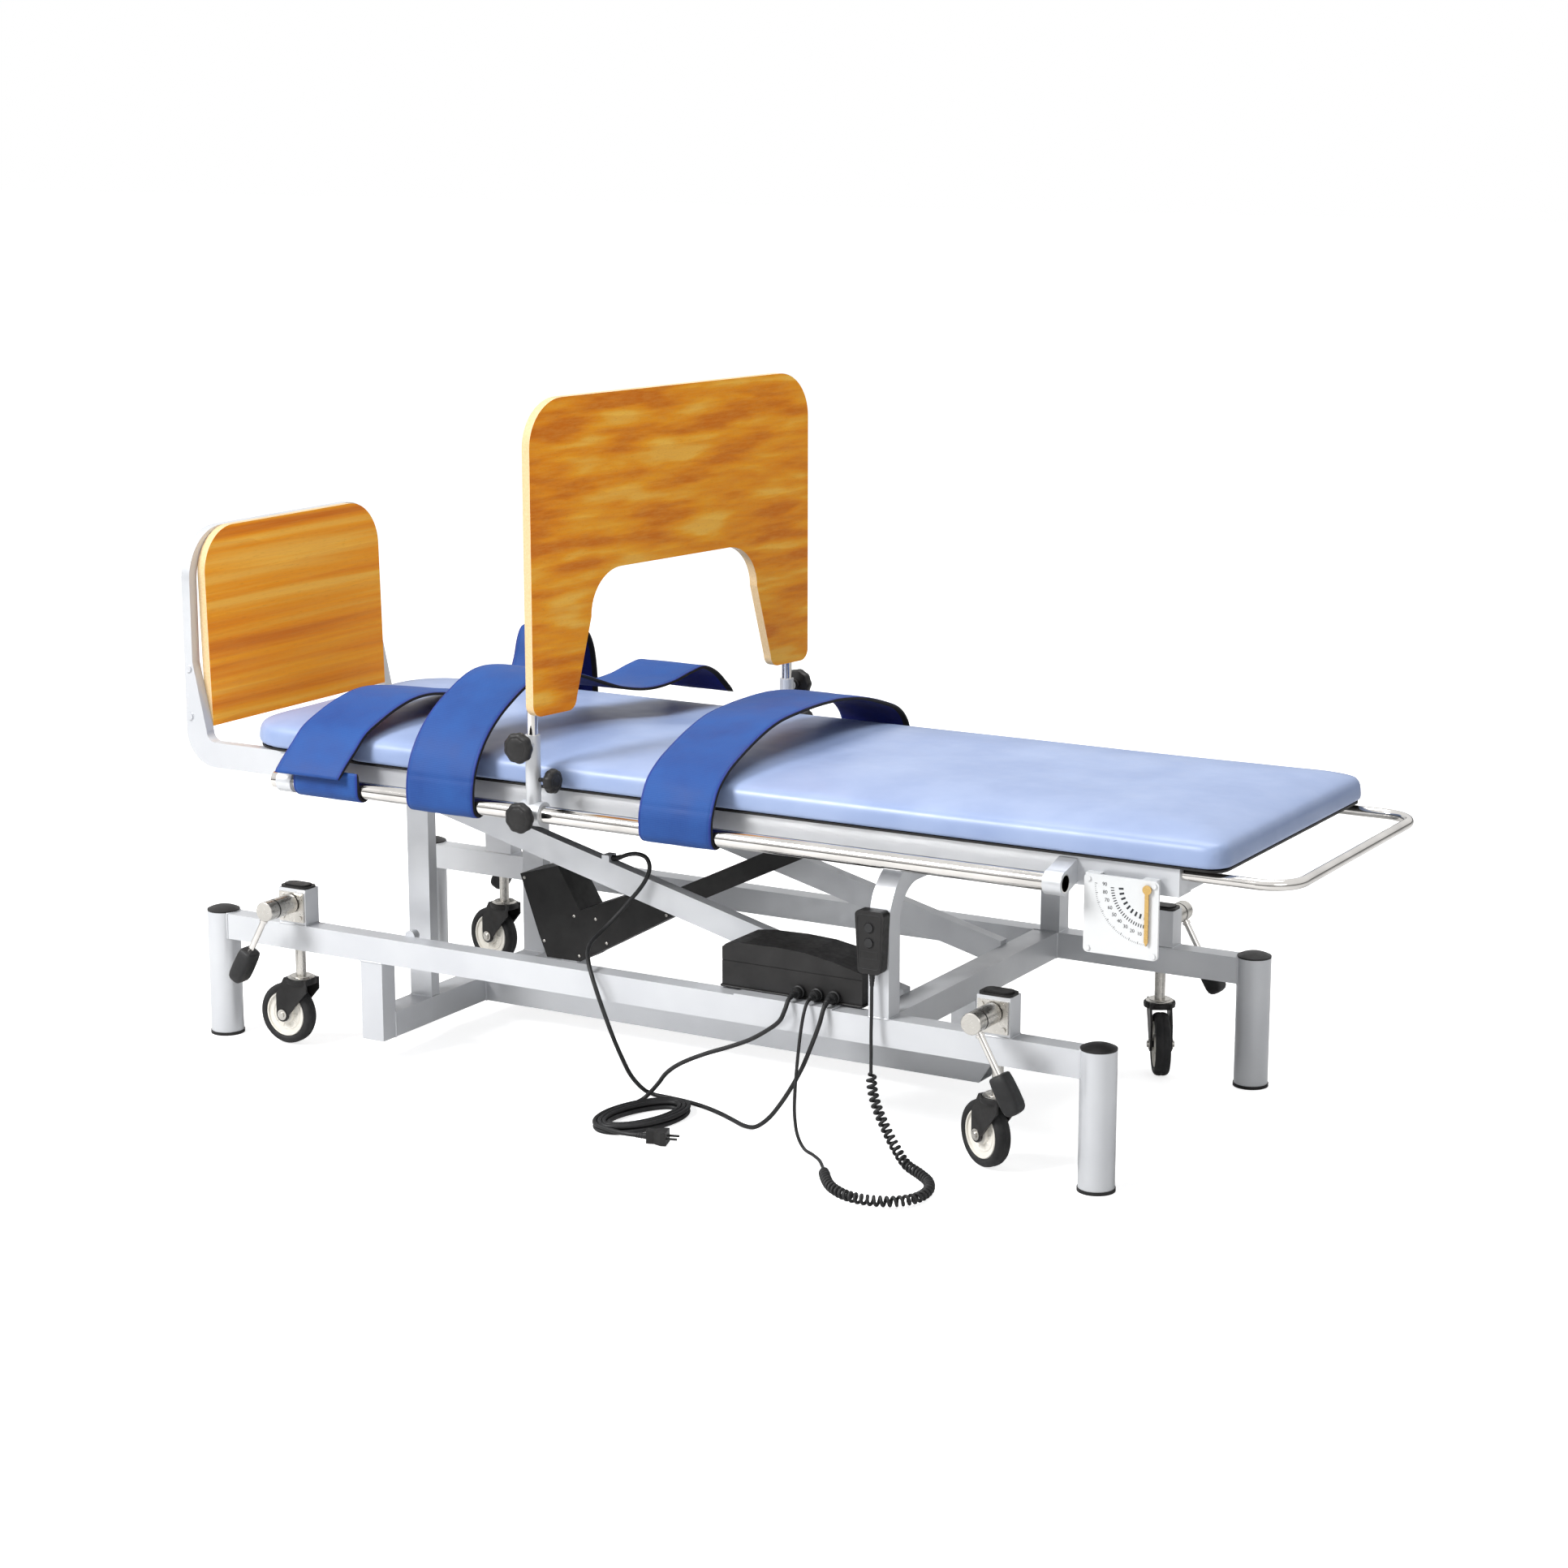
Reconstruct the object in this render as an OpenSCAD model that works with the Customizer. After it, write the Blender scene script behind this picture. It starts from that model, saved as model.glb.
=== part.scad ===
// Physiotherapy tilt table: X runs from the footboard to the head end, Z up from the floor,
// and the origin is the middle of the overall footprint at floor level

/* [Base frame] */
// Outside diameter of the corner legs
leg_d = 63.5; // [58:0.5:68]
// Height of the leg columns above the floor
leg_h = 248; // [240:1:256]
// Distance from the origin to the foot legs
foot_leg_x = 1048; // [1020:1:1070]
// Distance from the origin to the head legs
head_leg_x = 834; // [815:1:860]
// Half the distance between the two rows of legs
leg_y = 342.5; // [338:0.5:350]
// Width of the side rails across the table
rail_w = 40; // [36:1:42]
// Height of the side rails
rail_h = 50; // [44:1:54]
// Wall of the welded steel tubes
tube_wall = 2.5; // [2:0.25:3.5]
// Height of the foot rings under the legs
foot_h = 6; // [4:0.5:10]
// Width of the lower cross tube and of the uprights along the table
post_w = 50; // [46:1:50]
// Height of the lower centre beam above the floor
beam_z = 43; // [36:1:50]
// Width and height of the lower centre beam
beam_w = 50; // [44:1:54]
// Distance from the origin to the crossbeam at the head end
cross_x = 415; // [400:1:424]
// Width of the head post along and across the table
head_post_w = 40; // [34:1:46]
// Length of the centre beam past the crossbeam
beam_end_l = 40; // [20:1:60]

/* [Tilt stands] */
// Distance from the origin to the tilt hinge
hinge_x = 674; // [670:1:680]
// Height of the tilt hinge above the floor
hinge_z = 493; // [491:0.5:496]
// Distance from the middle to the inner face of each upright
stand_y = 181; // [170:1:190]
// Thickness of the uprights and braces across the table
stand_t = 25; // [22:1:28]
// Depth of the braces
brace_h = 49; // [42:1:52]
// Height of the brace's upper edge above the hinge, at the upright
brace_up = 26; // [18:0.5:26]
// Height of the brace's upper edge above the crossbeam at its far end
brace_rise = 8; // [4:1:14]
// Radius of the hinge pins
hinge_pin_r = 8; // [7:0.5:9]

/* [Head hoop] */
// Distance from the origin to the hoop
hoop_x = 424; // [416:1:430]
// Width of the hoop's square tube
hoop_w = 40; // [34:1:40]
// Outer bend radius of the hoop
hoop_bend = 105; // [90:1:120]
// Thickness of the rubber rests on the hoop
rest_t = 5; // [4:0.5:8]

/* [Casters] */
// Distance from the foot leg to the foot caster, and from the head leg to the head caster
caster_inset = 188; // [182:1:194]
// Diameter of the caster wheels
wheel_d = 120; // [112:1:122]
// Width of the caster tyres
wheel_w = 30; // [26:1:32]
// Trail from the swivel axis to the axle
trail = 33; // [28:1:36]
// Gap under a wheel while the legs stand on the floor
wheel_lift = 1.5; // [1:0.25:3]
// Radius of the caster stem
stem_r = 10; // [9:0.5:11]
// Length of the upright caster socket along the table
socket_l = 64; // [58:1:66]
// Height of the caster socket above the rail
socket_h = 71; // [66:1:71]
// Height of the pedal shaft above the rail
pedal_rise = 43; // [40:1:44]
// Diameter of the pedal hub
hub_d = 38; // [34:1:40]
// Distance from the socket to the end of the pedal hub
hub_l = 86; // [80:1:92]
// Distance from the hub's axis to the middle of the pedal pad
pedal_reach = 134; // [125:1:140]
// Lean of the pedal from the vertical, in degrees
pedal_lean = 29; // [25:1:32]
// Length, width and thickness of the pedal pad
pad_l = 72; // [64:1:76]
pad_w = 40; // [36:1:42]
pad_t = 34; // [28:1:36]

/* [Bed] */
// Height of the bed rails and cross tubes
bed_tube = 50; // [46:1:52]
// Gap between the hinge axis and the bed's underside
bed_clear = 27; // [26:0.5:29]
// Distance from the middle to the outer face of the bed rails
bed_y = 318; // [312:1:318]
// Distance from the origin to the bed's foot end
bed_foot_x = 917; // [905:1:925]
// Distance from the origin to the bed's head end
bed_head_x = 961; // [950:1:985]
// Thickness of the plywood board under the mattress
board_t = 4; // [3:0.5:6]
// Thickness of the mattress at its edge
mattress_t = 56; // [50:1:60]
// Half width of the mattress
mattress_y = 340; // [334:1:340]
// Distance from the origin to the mattress's foot end
mattress_foot_x = 1040; // [1030:1:1045]
// Half width of the mattress at its foot end, which swings down between the base rails
mattress_foot_y = 316; // [310:1:317]
// Distance from the origin to the mattress's head end
mattress_head_x = 1053; // [1040:1:1065]
// Plan radius of the mattress's foot corners
foot_corner_r = 120; // [110:1:140]
// Length of the narrow foot end beyond its corners
narrow_l = 60; // [55:1:80]
// Length over which the mattress narrows
taper_l = 140; // [120:1:160]
// Plan radius of the mattress's head corners
head_corner_r = 45; // [35:1:60]
// Radius of the mattress's upper edge
edge_r = 24; // [18:1:26]
// Crown of the mattress at its middle
crown = 5; // [2:0.5:8]
// How far the mattress's sides pull in at the bottom
side_draw = 7; // [4:0.5:10]

/* [Side tubes] */
// Outside diameter of the side tubes
side_tube_d = 32; // [30:0.5:33]
// Distance from the middle to the side tubes
side_tube_y = 365; // [362:0.5:368]
// Height of the side tubes above the bed's underside
side_tube_rise = 11; // [10:0.5:13]
// Distance from the origin to the side tubes' foot end
side_foot_x = 888; // [880:1:890]
// Distance from the origin to the side tubes' head end
side_head_x = 777; // [765:1:785]
// Length of each tube bracket along the table
bracket_l = 34; // [28:1:36]

/* [Foot frame and footboard] */
// Distance from the origin to the outer face of the foot frame
foot_frame_x = 1160; // [1150:1:1160]
// Distance from the middle to the outer face of the foot frame's legs
foot_leg_y = 300; // [294:1:304]
// Thickness of the foot frame's legs across the table
foot_leg_t = 22; // [20:1:24]
// Outer bend radius of the foot frame's legs
foot_bend = 70; // [64:1:80]
// Height where the wide leg ends and the hoop begins
foot_wide_top = 725; // [700:1:740]
// Height of the foot frame's top
foot_top = 985; // [960:5:1010]
// Thickness of the hoop along the table
hoop_t = 20; // [18:1:22]
// Outer corner radius of the foot hoop
foot_hoop_r = 100; // [85:1:110]
// Height of the footboard's lower edge
footboard_z = 597; // [590:1:610]
// Thickness of the wooden boards
wood_t = 18; // [16:0.5:19]
// Lean of the footboard from the vertical, in degrees
footboard_lean = 1.5; // [0.5:0.25:1.5]
// Corner radius of the footboard's upper corners
footboard_r = 92; // [80:1:100]

/* [Head handle] */
// Diameter of the head handle's tube
handle_d = 19; // [16:0.5:20]
// Distance from the middle to the handle's legs
handle_y = 303; // [299:0.5:304]
// Height of the handle above the bed's underside
handle_rise = 36; // [34:0.5:37]
// Distance from the origin to the outer face of the handle
handle_x = 1160; // [1130:1:1175]
// Corner radius of the handle at its centre line
handle_r = 60; // [50:1:70]

/* [Angle dial] */
// Width and height of the dial plate
dial_w = 135; // [130:1:140]
// Thickness of the dial plate
dial_t = 5; // [4:0.5:6]
// Distance from the origin to the dial's pivot
dial_x = 914; // [910:1:920]
// Height of the dial's pivot above the bed's underside
dial_rise = 12; // [11:0.5:14]
// Length of the pointer below its pivot
pointer_l = 96; // [80:1:100]

/* [Activity board] */
// Distance from the origin to the board post on the near side
near_post_x = 291; // [285:1:297]
// Distance from the origin to the board post on the far side
far_post_x = 182; // [176:1:188]
// Radius of the board posts
post_r = 10; // [9:0.5:11]
// Height of the board's legs above the bed's underside
board_rise = 195; // [190:1:205]
// Height of the activity board
board_h = 570; // [540:5:600]
// Half width of the activity board
board_y = 398; // [390:1:404]
// Corner radius of the activity board
board_r = 88; // [80:1:95]
// Height of the arch above the board's legs
arch_h = 249; // [230:1:260]
// Diameter of the clamp knobs
knob_d = 58; // [50:1:60]
// Thickness of the clamp knobs' heads
knob_t = 22; // [18:1:26]

/* [Actuator] */
// Distance from the origin to the actuator's lower pivot
act_x = 450; // [446:1:454]
// Height of the lower pivot above the centre beam
act_rise = 92; // [88:1:94]
// Distance from the origin to the actuator's upper pivot
act_head_x = 200; // [196:1:204]
// Drop of the upper pivot below the bed's underside
act_drop = 20; // [20:0.5:24]
// Half width of the actuator's cover
cover_y = 40; // [38:0.5:42]
// Width of the actuator's square guide tube
guide_w = 38; // [34:1:40]
// Radius of the actuator's rod
rod_r = 10; // [9:0.5:11]

/* [Control box and handset] */
// Length, width and height of the control box
box_l = 286; // [270:1:290]
box_w = 112; // [100:1:116]
box_h = 86; // [82:1:100]
// Distance from the origin to the box's foot end
box_x = 88; // [84:1:96]
// Length, width and thickness of the handset
handset_l = 112; // [105:1:118]
handset_w = 56; // [50:1:60]
handset_t = 24; // [20:1:26]
// Travel of the handset's buttons
button_travel = 2; // [1:0.25:2.5]

/* [Straps] */
// Width of the straps
strap_w = 152; // [140:1:158]
// Thickness of the padded straps
strap_t = 7; // [5:0.5:8]

/* [Cords] */
// Diameter of the mains lead and of the motor lead
lead_d = 8; // [7:0.25:8.5]
// Diameter of the handset lead
hand_d = 6; // [5:0.25:6.5]
// Number of curls in the curly lead
curls = 56; // [50:1:58]
// Diameter across the curls
curl_d = 20; // [18:0.5:22]
// Loops in the coiled mains lead
loops = 6; // [4:2:6]

/* [Hidden] */
$fn = 48;

// Colours
silver = [0.80, 0.83, 0.86];
zinc = [0.78, 0.77, 0.74];
black = [0.12, 0.12, 0.13];
vinyl = [0.62, 0.70, 0.88];
webbing = [0.18, 0.32, 0.70];
oak = [0.80, 0.51, 0.14];

// Clearances and overruns
cut = 1;          // overrun of every cut
seat = 0.1;       // gap of a curved seat
near_gap = 0.3;   // gap between a soft or moving piece and its neighbour
fit = 0.05;       // radial clearance of a turning or sliding fit

// Heights and places of the base frame
rail_step = 1;
rail_z1 = leg_h - rail_step;
rail_z0 = rail_z1 - rail_h;
rail_in = leg_y - rail_w / 2;
rail_out = leg_y + rail_w / 2;
beam_z1 = beam_z + beam_w;
cross_in = cross_x - post_w / 2;
cross_out = cross_x + post_w / 2;
hinge_pos = -hinge_x;
stand_out = stand_y + stand_t;
bed_z0 = hinge_z + bed_clear;
bed_z1 = bed_z0 + bed_tube;

// Hollow square tube along X, centred on Y, standing on z = 0
module tube_x(l, w, h, wall = tube_wall) {
    difference() {
        translate([0, -w / 2, 0]) cube([l, w, h]);
        translate([-cut, wall - w / 2, wall]) cube([l + 2 * cut, w - 2 * wall, h - 2 * wall]);
    }
}

// Hollow square tube along Y, centred on X, standing on z = 0
module tube_y(l, w, h, wall = tube_wall) {
    rotate([0, 0, 90]) tube_x(l, w, h, wall);
}

// Hollow square tube up Z, centred on X and Y
module tube_z(l, w, h, wall = tube_wall) {
    difference() {
        translate([-w / 2, -h / 2, 0]) cube([w, h, l]);
        translate([wall - w / 2, wall - h / 2, -cut])
            cube([w - 2 * wall, h - 2 * wall, l + 2 * cut]);
    }
}

// Rounded rectangle, centred
module rounded(w, h, r) {
    square([w, h - 2 * r], center = true);
    square([w - 2 * r, h], center = true);
    for (x = [-1, 1], y = [-1, 1])
        translate([x * (w / 2 - r), y * (h / 2 - r)]) circle(r);
}

// Extrudes an outline drawn in X and Z across Y, from y0 towards the far side
module across(y0, l) {
    translate([0, y0 + l, 0]) rotate([90, 0, 0]) linear_extrude(l) children();
}

// Cylinder along Y from y0 towards the far side
module rod_y(y0, l, r) {
    translate([0, y0, 0]) rotate([-90, 0, 0]) cylinder(h = l, r = r);
}

// Places of the casters: end, side and heading of the trail
CASTERS = [[-1, -1, 180], [1, -1, 152], [1, 1, -60], [-1, 1, 170]];
function caster_x(k) =
    CASTERS[k][0] < 0 ? caster_inset - foot_leg_x : head_leg_x - caster_inset;
function caster_y(k) = CASTERS[k][1] * leg_y;

// Side rails with their caster sockets
socket_z1 = rail_z1 + socket_h;
pedal_z = rail_z1 + pedal_rise;
pedal_shaft_r = 8;
tray_t = 3;
tray_l = 200;
tray_w = box_w + rail_w;
boss_r = 11;
boss_l = 16;
boss_off = 63;
module side_rails() color(silver) {
    for (side = [-1, 1]) difference() {
        union() {
            translate([-foot_leg_x, side * leg_y, rail_z0])
                tube_x(foot_leg_x + head_leg_x, rail_w, rail_h);
            for (k = [0:3]) if (CASTERS[k][1] == side)
                translate([caster_x(k), caster_y(k), rail_z1])
                    tube_z(socket_h, socket_l, rail_w);
        }
        for (x = [-foot_leg_x, head_leg_x])
            translate([x, side * leg_y, rail_z0 - cut])
                cylinder(h = rail_h + 2 * cut, r = leg_d / 2 + seat);
        for (k = [0:3]) if (CASTERS[k][1] == side) {
            translate([caster_x(k), caster_y(k), rail_z0 - cut])
                cylinder(h = rail_h + 2 * cut, r = stem_r + fit);
            translate([caster_x(k), 0, pedal_z])
                rod_y(side > 0 ? leg_y : -rail_out - cut, rail_w / 2 + cut, pedal_shaft_r + fit);
        }
    }
    translate([box_x + (box_l - tray_l) / 2, -rail_out, rail_z1])
        cube([tray_l, tray_w, tray_t]);
    translate([boss_off - hinge_x, 0, rail_z1])
        rod_y(-rail_in, boss_l, boss_r);
}

// Lower frame: drop posts, cross tube, centre beam, head post and crossbeam
bevel_share = 0.6;
clevis_t = 6;
clevis_gap = 18;
clevis_r = 18;
act_z = beam_z1 + act_rise;
act_pos = -act_x;
module centre_frame() color(silver) {
    for (side = [-1, 1])
        translate([hinge_pos, side * leg_y, beam_z])
            tube_z(rail_z0 - beam_z, post_w, rail_w);
    translate([hinge_pos, -rail_in, beam_z]) tube_y(2 * rail_in, post_w, beam_w);
    difference() {
        translate([hinge_pos + post_w / 2, 0, beam_z])
            tube_x(cross_out + beam_end_l + hinge_x - post_w / 2, beam_w, beam_w);
        across(-beam_w, 2 * beam_w) polygon([
            [cross_out + beam_end_l + cut, beam_z - cut],
            [cross_out + beam_end_l + cut, beam_z1 - tube_wall],
            [cross_out + beam_end_l - bevel_share * beam_w, beam_z - cut]]);
    }
    translate([cross_x, 0, beam_z1]) tube_z(rail_z0 - beam_z1, post_w, head_post_w);
    translate([cross_x, -rail_in, rail_z0]) tube_y(2 * rail_in, post_w, rail_h);
    difference() {
        for (side = [-1, 1])
            translate([act_pos, 0, 0])
                across(side * (clevis_gap + clevis_t / 2) - clevis_t / 2, clevis_t) {
                    translate([-clevis_r, beam_z1]) square([2 * clevis_r, act_rise]);
                    translate([0, act_z]) circle(clevis_r);
                }
        translate([act_pos, 0, act_z]) rod_y(-beam_w, 2 * beam_w, hinge_pin_r + fit);
    }
}

// Uprights with their braces, each side one weldment
brace_x0 = hinge_pos + post_w / 2;
brace_z0 = hinge_z + brace_up;
brace_z1 = rail_z1 + brace_rise;
clip_l = 16;
clip_h = 12;
clip_share = 0.4;
function brace_top(x) = brace_z0 + (brace_z1 - brace_z0) * (x - brace_x0) / (cross_in - brace_x0);
module brace_outline(wall) {
    polygon([
        [brace_x0 + wall, brace_top(brace_x0 + wall) - wall],
        [cross_in - wall, brace_top(cross_in - wall) - wall],
        [cross_in - wall, brace_top(cross_in - wall) - brace_h + wall],
        [brace_x0 + wall, brace_top(brace_x0 + wall) - brace_h + wall]]);
}
clip_x = brace_x0 + clip_share * (cross_in - brace_x0);
module tilt_stands() color(silver) {
    for (side = [-1, 1]) {
        y0 = side > 0 ? stand_y : -stand_out;
        difference() {
            union() {
                across(y0, stand_t) {
                    translate([hinge_pos - post_w / 2, beam_z1])
                        square([post_w, hinge_z - beam_z1]);
                    translate([hinge_pos, hinge_z]) circle(post_w / 2);
                }
                across(y0, stand_t) brace_outline(0);
            }
            across(y0 + tube_wall, stand_t - 2 * tube_wall) {
                translate([hinge_pos - post_w / 2 + tube_wall, beam_z1 - cut])
                    square([post_w - 2 * tube_wall, hinge_z - beam_z1 - post_w / 2]);
                brace_outline(tube_wall);
            }
            translate([hinge_pos, 0, hinge_z]) rod_y(y0 - cut, stand_t + 2 * cut, hinge_pin_r + fit);
        }
    }
    across(-stand_out, stand_t) polygon([
        [clip_x - clip_l, brace_top(clip_x - clip_l)],
        [clip_x, brace_top(clip_x)],
        [clip_x, brace_top(clip_x) + clip_h],
        [clip_x - clip_l, brace_top(clip_x) + clip_h]]);
}

// Hoop that carries the head end of the bed
hoop_r = hoop_bend - hoop_w / 2;
hoop_top = bed_z0 - rest_t;
module hoop_section() {
    difference() {
        square(hoop_w, center = true);
        square(hoop_w - 2 * tube_wall, center = true);
    }
}
module head_hoop() color(silver) {
    for (side = [-1, 1]) {
        translate([hoop_x, side * leg_y, rail_z1])
            tube_z(hoop_top - hoop_bend - rail_z1, hoop_w, hoop_w);
        translate([hoop_x, side * (leg_y + hoop_w / 2 - hoop_bend), hoop_top - hoop_bend])
            rotate([90, 0, side * 90])
                rotate_extrude(angle = 90) translate([hoop_r, 0]) hoop_section();
    }
    translate([hoop_x, hoop_bend - hoop_w / 2 - leg_y, hoop_top - hoop_w])
        tube_y(2 * (leg_y + hoop_w / 2 - hoop_bend), hoop_w, hoop_w);
}

// Pin along Y with a head at each end
pin_head_t = 4;
pin_head_over = 5;
module headed_pin(y0, l, r) {
    rod_y(y0 - pin_head_t, l + 2 * pin_head_t, r);
    rod_y(y0 - pin_head_t, pin_head_t, r + pin_head_over);
    rod_y(y0 + l, pin_head_t, r + pin_head_over);
}
lug_t = 8;
lug_gap = 0.5;
lug_r = 18;
lug_in = stand_y - lug_gap - lug_t;
lug_out = stand_out + lug_gap;
module hinge_pins() color(zinc) {
    hinge_l = lug_out + lug_t - lug_in + 2 * near_gap;
    for (side = [-1, 1])
        translate([hinge_pos, 0, hinge_z])
            headed_pin(side > 0 ? lug_in - near_gap : near_gap - lug_in - hinge_l,
                hinge_l, hinge_pin_r);
    clevis_out = clevis_gap + clevis_t;
    translate([act_pos, 0, act_z]) headed_pin(-clevis_out, 2 * clevis_out, hinge_pin_r);
}

// Corner legs, their foot rings and the caps
leg_wall = 3;
module at_legs() {
    for (x = [-foot_leg_x, head_leg_x], y = [-leg_y, leg_y]) translate([x, y, 0]) children();
}
module corner_legs() color(silver) {
    at_legs() difference() {
        translate([0, 0, foot_h]) cylinder(h = leg_h - foot_h, r = leg_d / 2);
        cylinder(h = leg_h + cut, r = leg_d / 2 - leg_wall);
    }
}
ring_over = 1.5;
plug_l = 18;
module leg_feet() color(black) {
    at_legs() {
        cylinder(h = foot_h, r = leg_d / 2 + ring_over);
        cylinder(h = foot_h + plug_l, r = leg_d / 2 - leg_wall - seat);
    }
}
cap_dome = 8;
cap_lip = 3;
module leg_cap() {
    r = leg_d / 2 + seat;
    ball = (r * r + cap_dome * cap_dome) / (2 * cap_dome);
    rotate_extrude() {
        intersection() {
            translate([0, cap_dome + cap_lip - ball]) circle(ball, $fn = 96);
            square([r, cap_dome + cap_lip]);
        }
        translate([0, -plug_l]) square([leg_d / 2 - leg_wall - seat, plug_l + cap_lip / 2]);
    }
}
socket_cap_h = 4;
socket_cap_r = 12;
socket_cap_in = 5;
rest_l = 60;
rest_share = 0.72;
module tube_caps() color(black) {
    at_legs() translate([0, 0, leg_h]) leg_cap();
    for (k = [0:3]) translate([caster_x(k), caster_y(k), socket_z1]) {
        linear_extrude(socket_cap_h) rounded(socket_l, rail_w, socket_cap_r);
        linear_extrude(socket_cap_h + cap_lip)
            rounded(socket_l - 2 * socket_cap_in, rail_w - 2 * socket_cap_in, socket_cap_r);
    }
    for (side = [-1, 1])
        translate([hoop_x, side * rest_share * (leg_y + hoop_w / 2 - hoop_bend), hoop_top])
            linear_extrude(rest_t) rounded(hoop_w - cap_lip, rest_l, cap_lip);
}

// Square bearing plates of the pedal shafts
plate_w = 58;
plate_t = 4;
screw_r = 4.5;
screw_h = 2.5;
screw_share = 0.36;
module caster_plates() color(zinc) {
    for (k = [0:3]) {
        y0 = caster_y(k) + (CASTERS[k][1] > 0 ? rail_w / 2 : -rail_w / 2 - plate_t);
        head_y = CASTERS[k][1] > 0 ? y0 + plate_t : y0 - screw_h;
        translate([caster_x(k), 0, rail_z1 + socket_h / 2]) {
            difference() {
                translate([-plate_w / 2, y0, -plate_w / 2]) cube([plate_w, plate_t, plate_w]);
                translate([0, 0, pedal_rise - socket_h / 2])
                    rod_y(y0 - cut, plate_t + 2 * cut, pedal_shaft_r + fit);
            }
            for (x = [-1, 1], z = [-1, 1])
                translate([x * screw_share * plate_w, 0, z * screw_share * plate_w])
                    rod_y(head_y, screw_h, screw_r);
        }
    }
}

// Casters: stem, fork and wheel, drawn with the trail along X
axle_z = wheel_d / 2 + wheel_lift;
fork_over = 16;
stem_drop = 16;
fork_z1 = axle_z + wheel_d / 2 + fork_over;
stem_z1 = pedal_z - pedal_shaft_r - stem_drop;
fork_plate_t = 12;
fork_plate_r = 27;
flange_r = 21;
flange_t = 4;
cheek_gap = 2;
cheek_t = 4;
axle_r = 6;
axle_boss = 14;
module at_caster(k) {
    translate([caster_x(k), caster_y(k), 0]) children();
}
module caster_stem(k) color(zinc) at_caster(k) {
    translate([0, 0, fork_z1 - fork_plate_t]) cylinder(h = stem_z1 - fork_z1 + fork_plate_t, r = stem_r);
    translate([0, 0, fork_z1 + near_gap]) cylinder(h = flange_t, r = flange_r);
}
module caster_fork(k) color(black) at_caster(k) rotate([0, 0, CASTERS[k][2]]) {
    cheek_in = wheel_w / 2 + cheek_gap;
    difference() {
        union() {
            translate([0, 0, fork_z1 - fork_plate_t]) cylinder(h = fork_plate_t, r = fork_plate_r);
            for (side = [-1, 1])
                across(side > 0 ? cheek_in : -cheek_in - cheek_t, cheek_t) {
                    polygon([
                        [-fork_plate_r, fork_z1],
                        [fork_plate_r, fork_z1],
                        [trail + axle_boss, fork_z1 - 3 * fork_plate_t],
                        [trail + axle_boss, axle_z],
                        [trail - axle_boss, axle_z],
                        [-fork_plate_r, fork_z1 - 2 * fork_plate_t]]);
                    translate([trail, axle_z]) circle(axle_boss);
                }
            translate([-fork_plate_r, -cheek_in, fork_z1 - fork_plate_t])
                cube([2 * fork_plate_r, 2 * cheek_in, fork_plate_t]);
        }
        translate([0, 0, fork_z1 - fork_plate_t - cut])
            cylinder(h = fork_plate_t + 2 * cut, r = stem_r + fit);
    }
    translate([trail, 0, axle_z]) rod_y(-cheek_in - cheek_t - cheek_gap,
        2 * (cheek_in + cheek_t + cheek_gap), axle_r);
}
tyre_round = 7;
rim_r = 44;
rim_depth = 4;
hub_r = 15;
module caster_wheel(k) color(black) at_caster(k) rotate([0, 0, CASTERS[k][2]])
    translate([trail, 0, axle_z]) rotate([90, 0, 0]) rotate_extrude($fn = 96) difference() {
        union() {
            translate([axle_r + fit, -wheel_w / 2])
                square([wheel_d / 2 - axle_r - fit - tyre_round, wheel_w]);
            translate([wheel_d / 2 - tyre_round - cut, tyre_round - wheel_w / 2])
                square([tyre_round + cut, wheel_w - 2 * tyre_round]);
            for (side = [-1, 1])
                translate([wheel_d / 2 - tyre_round, side * (wheel_w / 2 - tyre_round)])
                    circle(tyre_round);
        }
        for (side = [-1, 1])
            translate([hub_r, side > 0 ? wheel_w / 2 - rim_depth : -wheel_w / 2 - cut])
                square([rim_r - hub_r, rim_depth + cut]);
    }

// Pedal lever that raises its caster
lever_rod_r = 6;
pad_r = 15;
module pedal_lever(k) color(zinc) {
    side = CASTERS[k][1];
    y_in = rail_out + plate_t + screw_h + near_gap;
    hub_y = rail_out + hub_l;
    shaft_in = leg_y - wheel_w / 4;
    pad_y = hub_y - pad_w / 2 + lever_rod_r;
    translate([caster_x(k), 0, pedal_z]) {
        rod_y(side > 0 ? y_in : -hub_y, hub_y - y_in, hub_d / 2);
        rod_y(side > 0 ? shaft_in : -hub_y, hub_y - shaft_in, pedal_shaft_r);
        translate([0, side * pad_y, 0]) rotate([0, -CASTERS[k][0] * pedal_lean, 0]) {
            rotate([180, 0, 0]) cylinder(h = pedal_reach, r = lever_rod_r);
            translate([0, 0, -pedal_reach]) across(-pad_w / 2, pad_w) rounded(pad_t, pad_l, pad_r);
        }
    }
}

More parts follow.
